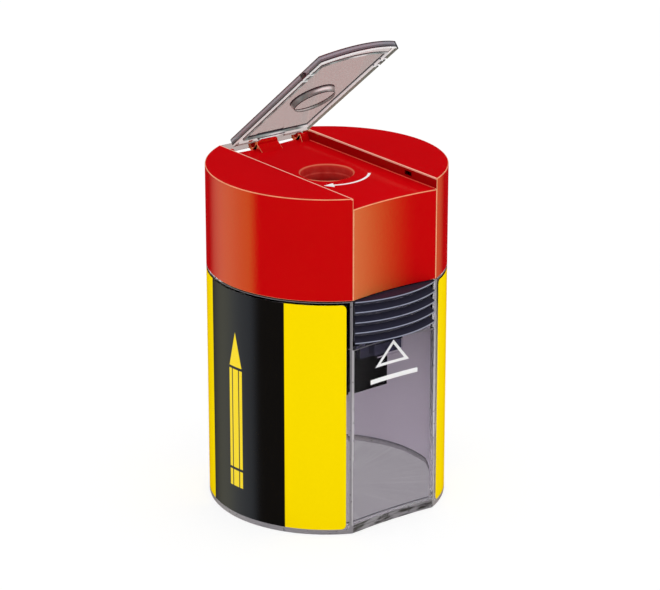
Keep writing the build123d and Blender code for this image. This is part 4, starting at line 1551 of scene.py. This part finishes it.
def add_floor(stage):
    """Pale round floor that looks white to the camera and keeps a soft shadow; seen through clear plastic,
    it carries a painted shadow right under the tub."""
    sides, under_share = 64, 0.97
    turn = np.linspace(0, 2 * pi, sides, endpoint=False)
    rim = at_height(stage.floor_radius * round_plan(turn), 0.0)
    finish = Finish("pale_floor")
    finish.tree.nodes.remove(finish.shader)
    path = finish.add("LightPath").outputs
    clear = path["Is Transmission Ray"]
    # Painted shadow right under the tub, for rays seen through clear plastic
    under = finish.fading(finish.from_axis, under_share * RADIUS / MM, RADIUS / MM)
    before_matte = finish.maths("LESS_THAN", path["Diffuse Depth"], 0.5)
    shade = finish.switch(finish.product(under, clear, before_matte), 1.0, stage.floor_painted_shadow)
    share = finish.product(finish.total(finish.product(path["Is Camera Ray"], stage.floor_glow),
                                        finish.product(clear, stage.floor_glow_through)), shade)
    tone = finish.product(finish.maths("MINIMUM", finish.less(1.0, share), stage.floor_tone), shade)
    grey = finish.add("CombineColor")
    for socket in grey.inputs[:3]:
        finish.give(socket, tone)
    glow, matte, both = (finish.add(kind) for kind in ("Emission", "BsdfDiffuse", "AddShader"))
    finish.give(glow.inputs["Strength"], share)
    finish.give(matte.inputs["Color"], grey.outputs[0])
    finish.give(both.inputs[0], glow.outputs[0])
    finish.give(both.inputs[1], matte.outputs[0])
    finish.give(finish.tree.nodes["Material Output"].inputs["Surface"], both.outputs[0])
    floor = make_piece("floor", [(fan(rim), True)], finish.material)
    floor.visible_glossy = False


# Light panels: colour, then the angles in degrees from the camera, to the right, at which a panel starts,
# is full, starts to fade and ends
LIGHT_PANELS = (
    ((0.58, 0.57, 0.42), (-150, -100, -112, -94)),
    ((0.58, 0.58, 0.50), (-112, -94, -80, -66)),
    ((1.05, 1.08, 0.95), (66, 97, 99, 126)),
    ((0.28, 0.21, 0.08), (98, 122, 128, 148)),
    ((0.14, 0.0, 0.0), (-200, -190, -165, -140)),
    ((0.14, 0.0, 0.0), (138, 165, 190, 200)),
)
# Rise of a direction over which the panels fade above, and over which they begin below
PANEL_TOP, PANEL_FOOT = (0.0, 0.3), (-0.75, -0.5)


def add_room(scene, stage):
    """White room: even light for matte surfaces, and a dim studio with light panels in reflections.
    A panel spans a range of angles round the upright axis, counted from the camera, below eye level."""
    room = bpy.data.worlds.new("studio")
    scene.world = room
    room.use_nodes = True
    room.cycles.sampling_method = "NONE"
    nodes = Nodes(room.node_tree)
    direction = nodes.add("TexCoord").outputs["Generated"]

    def part_along(axis):
        node = nodes.add("VectorMath", operation="DOT_PRODUCT")
        nodes.give(node.inputs[0], direction)
        nodes.give(node.inputs[1], axis)
        return node.outputs["Value"]

    sideways, ahead = part_along(view_direction(stage, pi / 2)), part_along(view_direction(stage))
    turn = nodes.maths("ARCTAN2", sideways, ahead)
    rise = part_along((0, 0, 1))
    low = nodes.product(nodes.fading(rise, *PANEL_TOP, stage.panel), nodes.eased(rise, *PANEL_FOOT))
    reflected = (stage.gloom, stage.gloom, stage.gloom)
    for tone, places in LIGHT_PANELS:
        start, full, fade, end = (radians(place) for place in places)
        shine = nodes.product(nodes.less(nodes.eased(turn, start, full), nodes.eased(turn, fade, end)), low)
        node = nodes.add("VectorMath", operation="MULTIPLY_ADD")
        for socket, value in zip(node.inputs, (shine, tone, reflected)):
            nodes.give(socket, value)
        reflected = node.outputs["Vector"]
    path = nodes.add("LightPath").outputs
    mirror = nodes.maths("GREATER_THAN", path["Is Glossy Ray"], path["Is Transmission Ray"])
    matte = nodes.switch(path["Is Glossy Ray"], stage.ambient, 1.0)
    after_matte = nodes.maths("GREATER_THAN", path["Diffuse Depth"], 0.5)
    behind_clear = nodes.switch(after_matte, 1.0, stage.inside)
    strength = nodes.switch(path["Is Transmission Ray"], matte, behind_clear)
    background = room.node_tree.nodes["Background"].inputs
    nodes.give(background["Color"], nodes.mix(mirror, WHITE, reflected))
    nodes.give(background["Strength"], nodes.switch(path["Is Camera Ray"], strength, 1.0))


def add_key(stage):
    """Soft square lamp above the object, to the right of the camera."""
    lamp = bpy.data.lights.new("key", "AREA")
    lamp.energy = stage.key
    lamp.size = stage.key_size
    key = bpy.data.objects.new("key", lamp)
    direction = view_direction(stage, stage.key_turn, stage.key_rise)
    key.location = Vector((0, 0, TUB_TOP)) + stage.key_distance * direction
    key.rotation_euler = direction.to_track_quat("Z", "Y").to_euler()
    key.visible_glossy = False
    bpy.context.scene.collection.objects.link(key)


def add_camera(scene, stage):
    """Camera at the photograph's angle, aimed at the point in the picture's centre."""
    lens = bpy.data.cameras.new("camera")
    lens.lens = stage.lens
    lens.sensor_fit = "HORIZONTAL"
    lens.sensor_width = SENSOR
    lens.clip_start = CLIP_START
    camera = bpy.data.objects.new("camera", lens)
    direction = view_direction(stage, 0.0, stage.elevation)
    camera.location = Vector((stage.target_x, 0, stage.target_z)) + stage.distance * direction
    camera.rotation_euler = direction.to_track_quat("Z", "Y").to_euler()
    scene.collection.objects.link(camera)
    scene.camera = camera


OPERATORS = (SHARPENER_OT_tub, SHARPENER_OT_labels, SHARPENER_OT_cap, SHARPENER_OT_flap,
             SHARPENER_OT_press_tabs, SHARPENER_OT_works, SHARPENER_OT_marks, SHARPENER_OT_stage)


class SHARPENER_PT_sidebar(Panel):
    """Sidebar panel that lists the pieces"""
    bl_idname = "SHARPENER_PT_sidebar"
    bl_label = "Tub Pencil Sharpener"
    bl_space_type = "VIEW_3D"
    bl_region_type = "UI"
    bl_category = "Sharpener"

    def draw(self, context):
        for operator in OPERATORS:
            self.layout.operator(operator.bl_idname)


SETTINGS = (TubSettings, LabelSettings, CapSettings, FlapSettings, TabSettings, PrintSettings, ColourSettings,
            StageSettings, SharpenerSettings)
CLASSES = (*SETTINGS, *OPERATORS, SHARPENER_PT_sidebar)


def register():
    """Register the classes and hang the settings on the scene."""
    for item in CLASSES:
        bpy.utils.register_class(item)
    bpy.types.Scene.sharpener = PointerProperty(type=SharpenerSettings)


def unregister():
    """Take the settings off the scene and remove the classes."""
    del bpy.types.Scene.sharpener
    for item in reversed(CLASSES):
        bpy.utils.unregister_class(item)


def main():
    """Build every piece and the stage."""
    register()
    bpy.ops.sharpener.tub()
    bpy.ops.sharpener.labels()
    bpy.ops.sharpener.cap()
    bpy.ops.sharpener.flap()
    bpy.ops.sharpener.press_tabs()
    bpy.ops.sharpener.works()
    bpy.ops.sharpener.marks()
    bpy.ops.sharpener.stage()


if __name__ == "__main__":
    main()
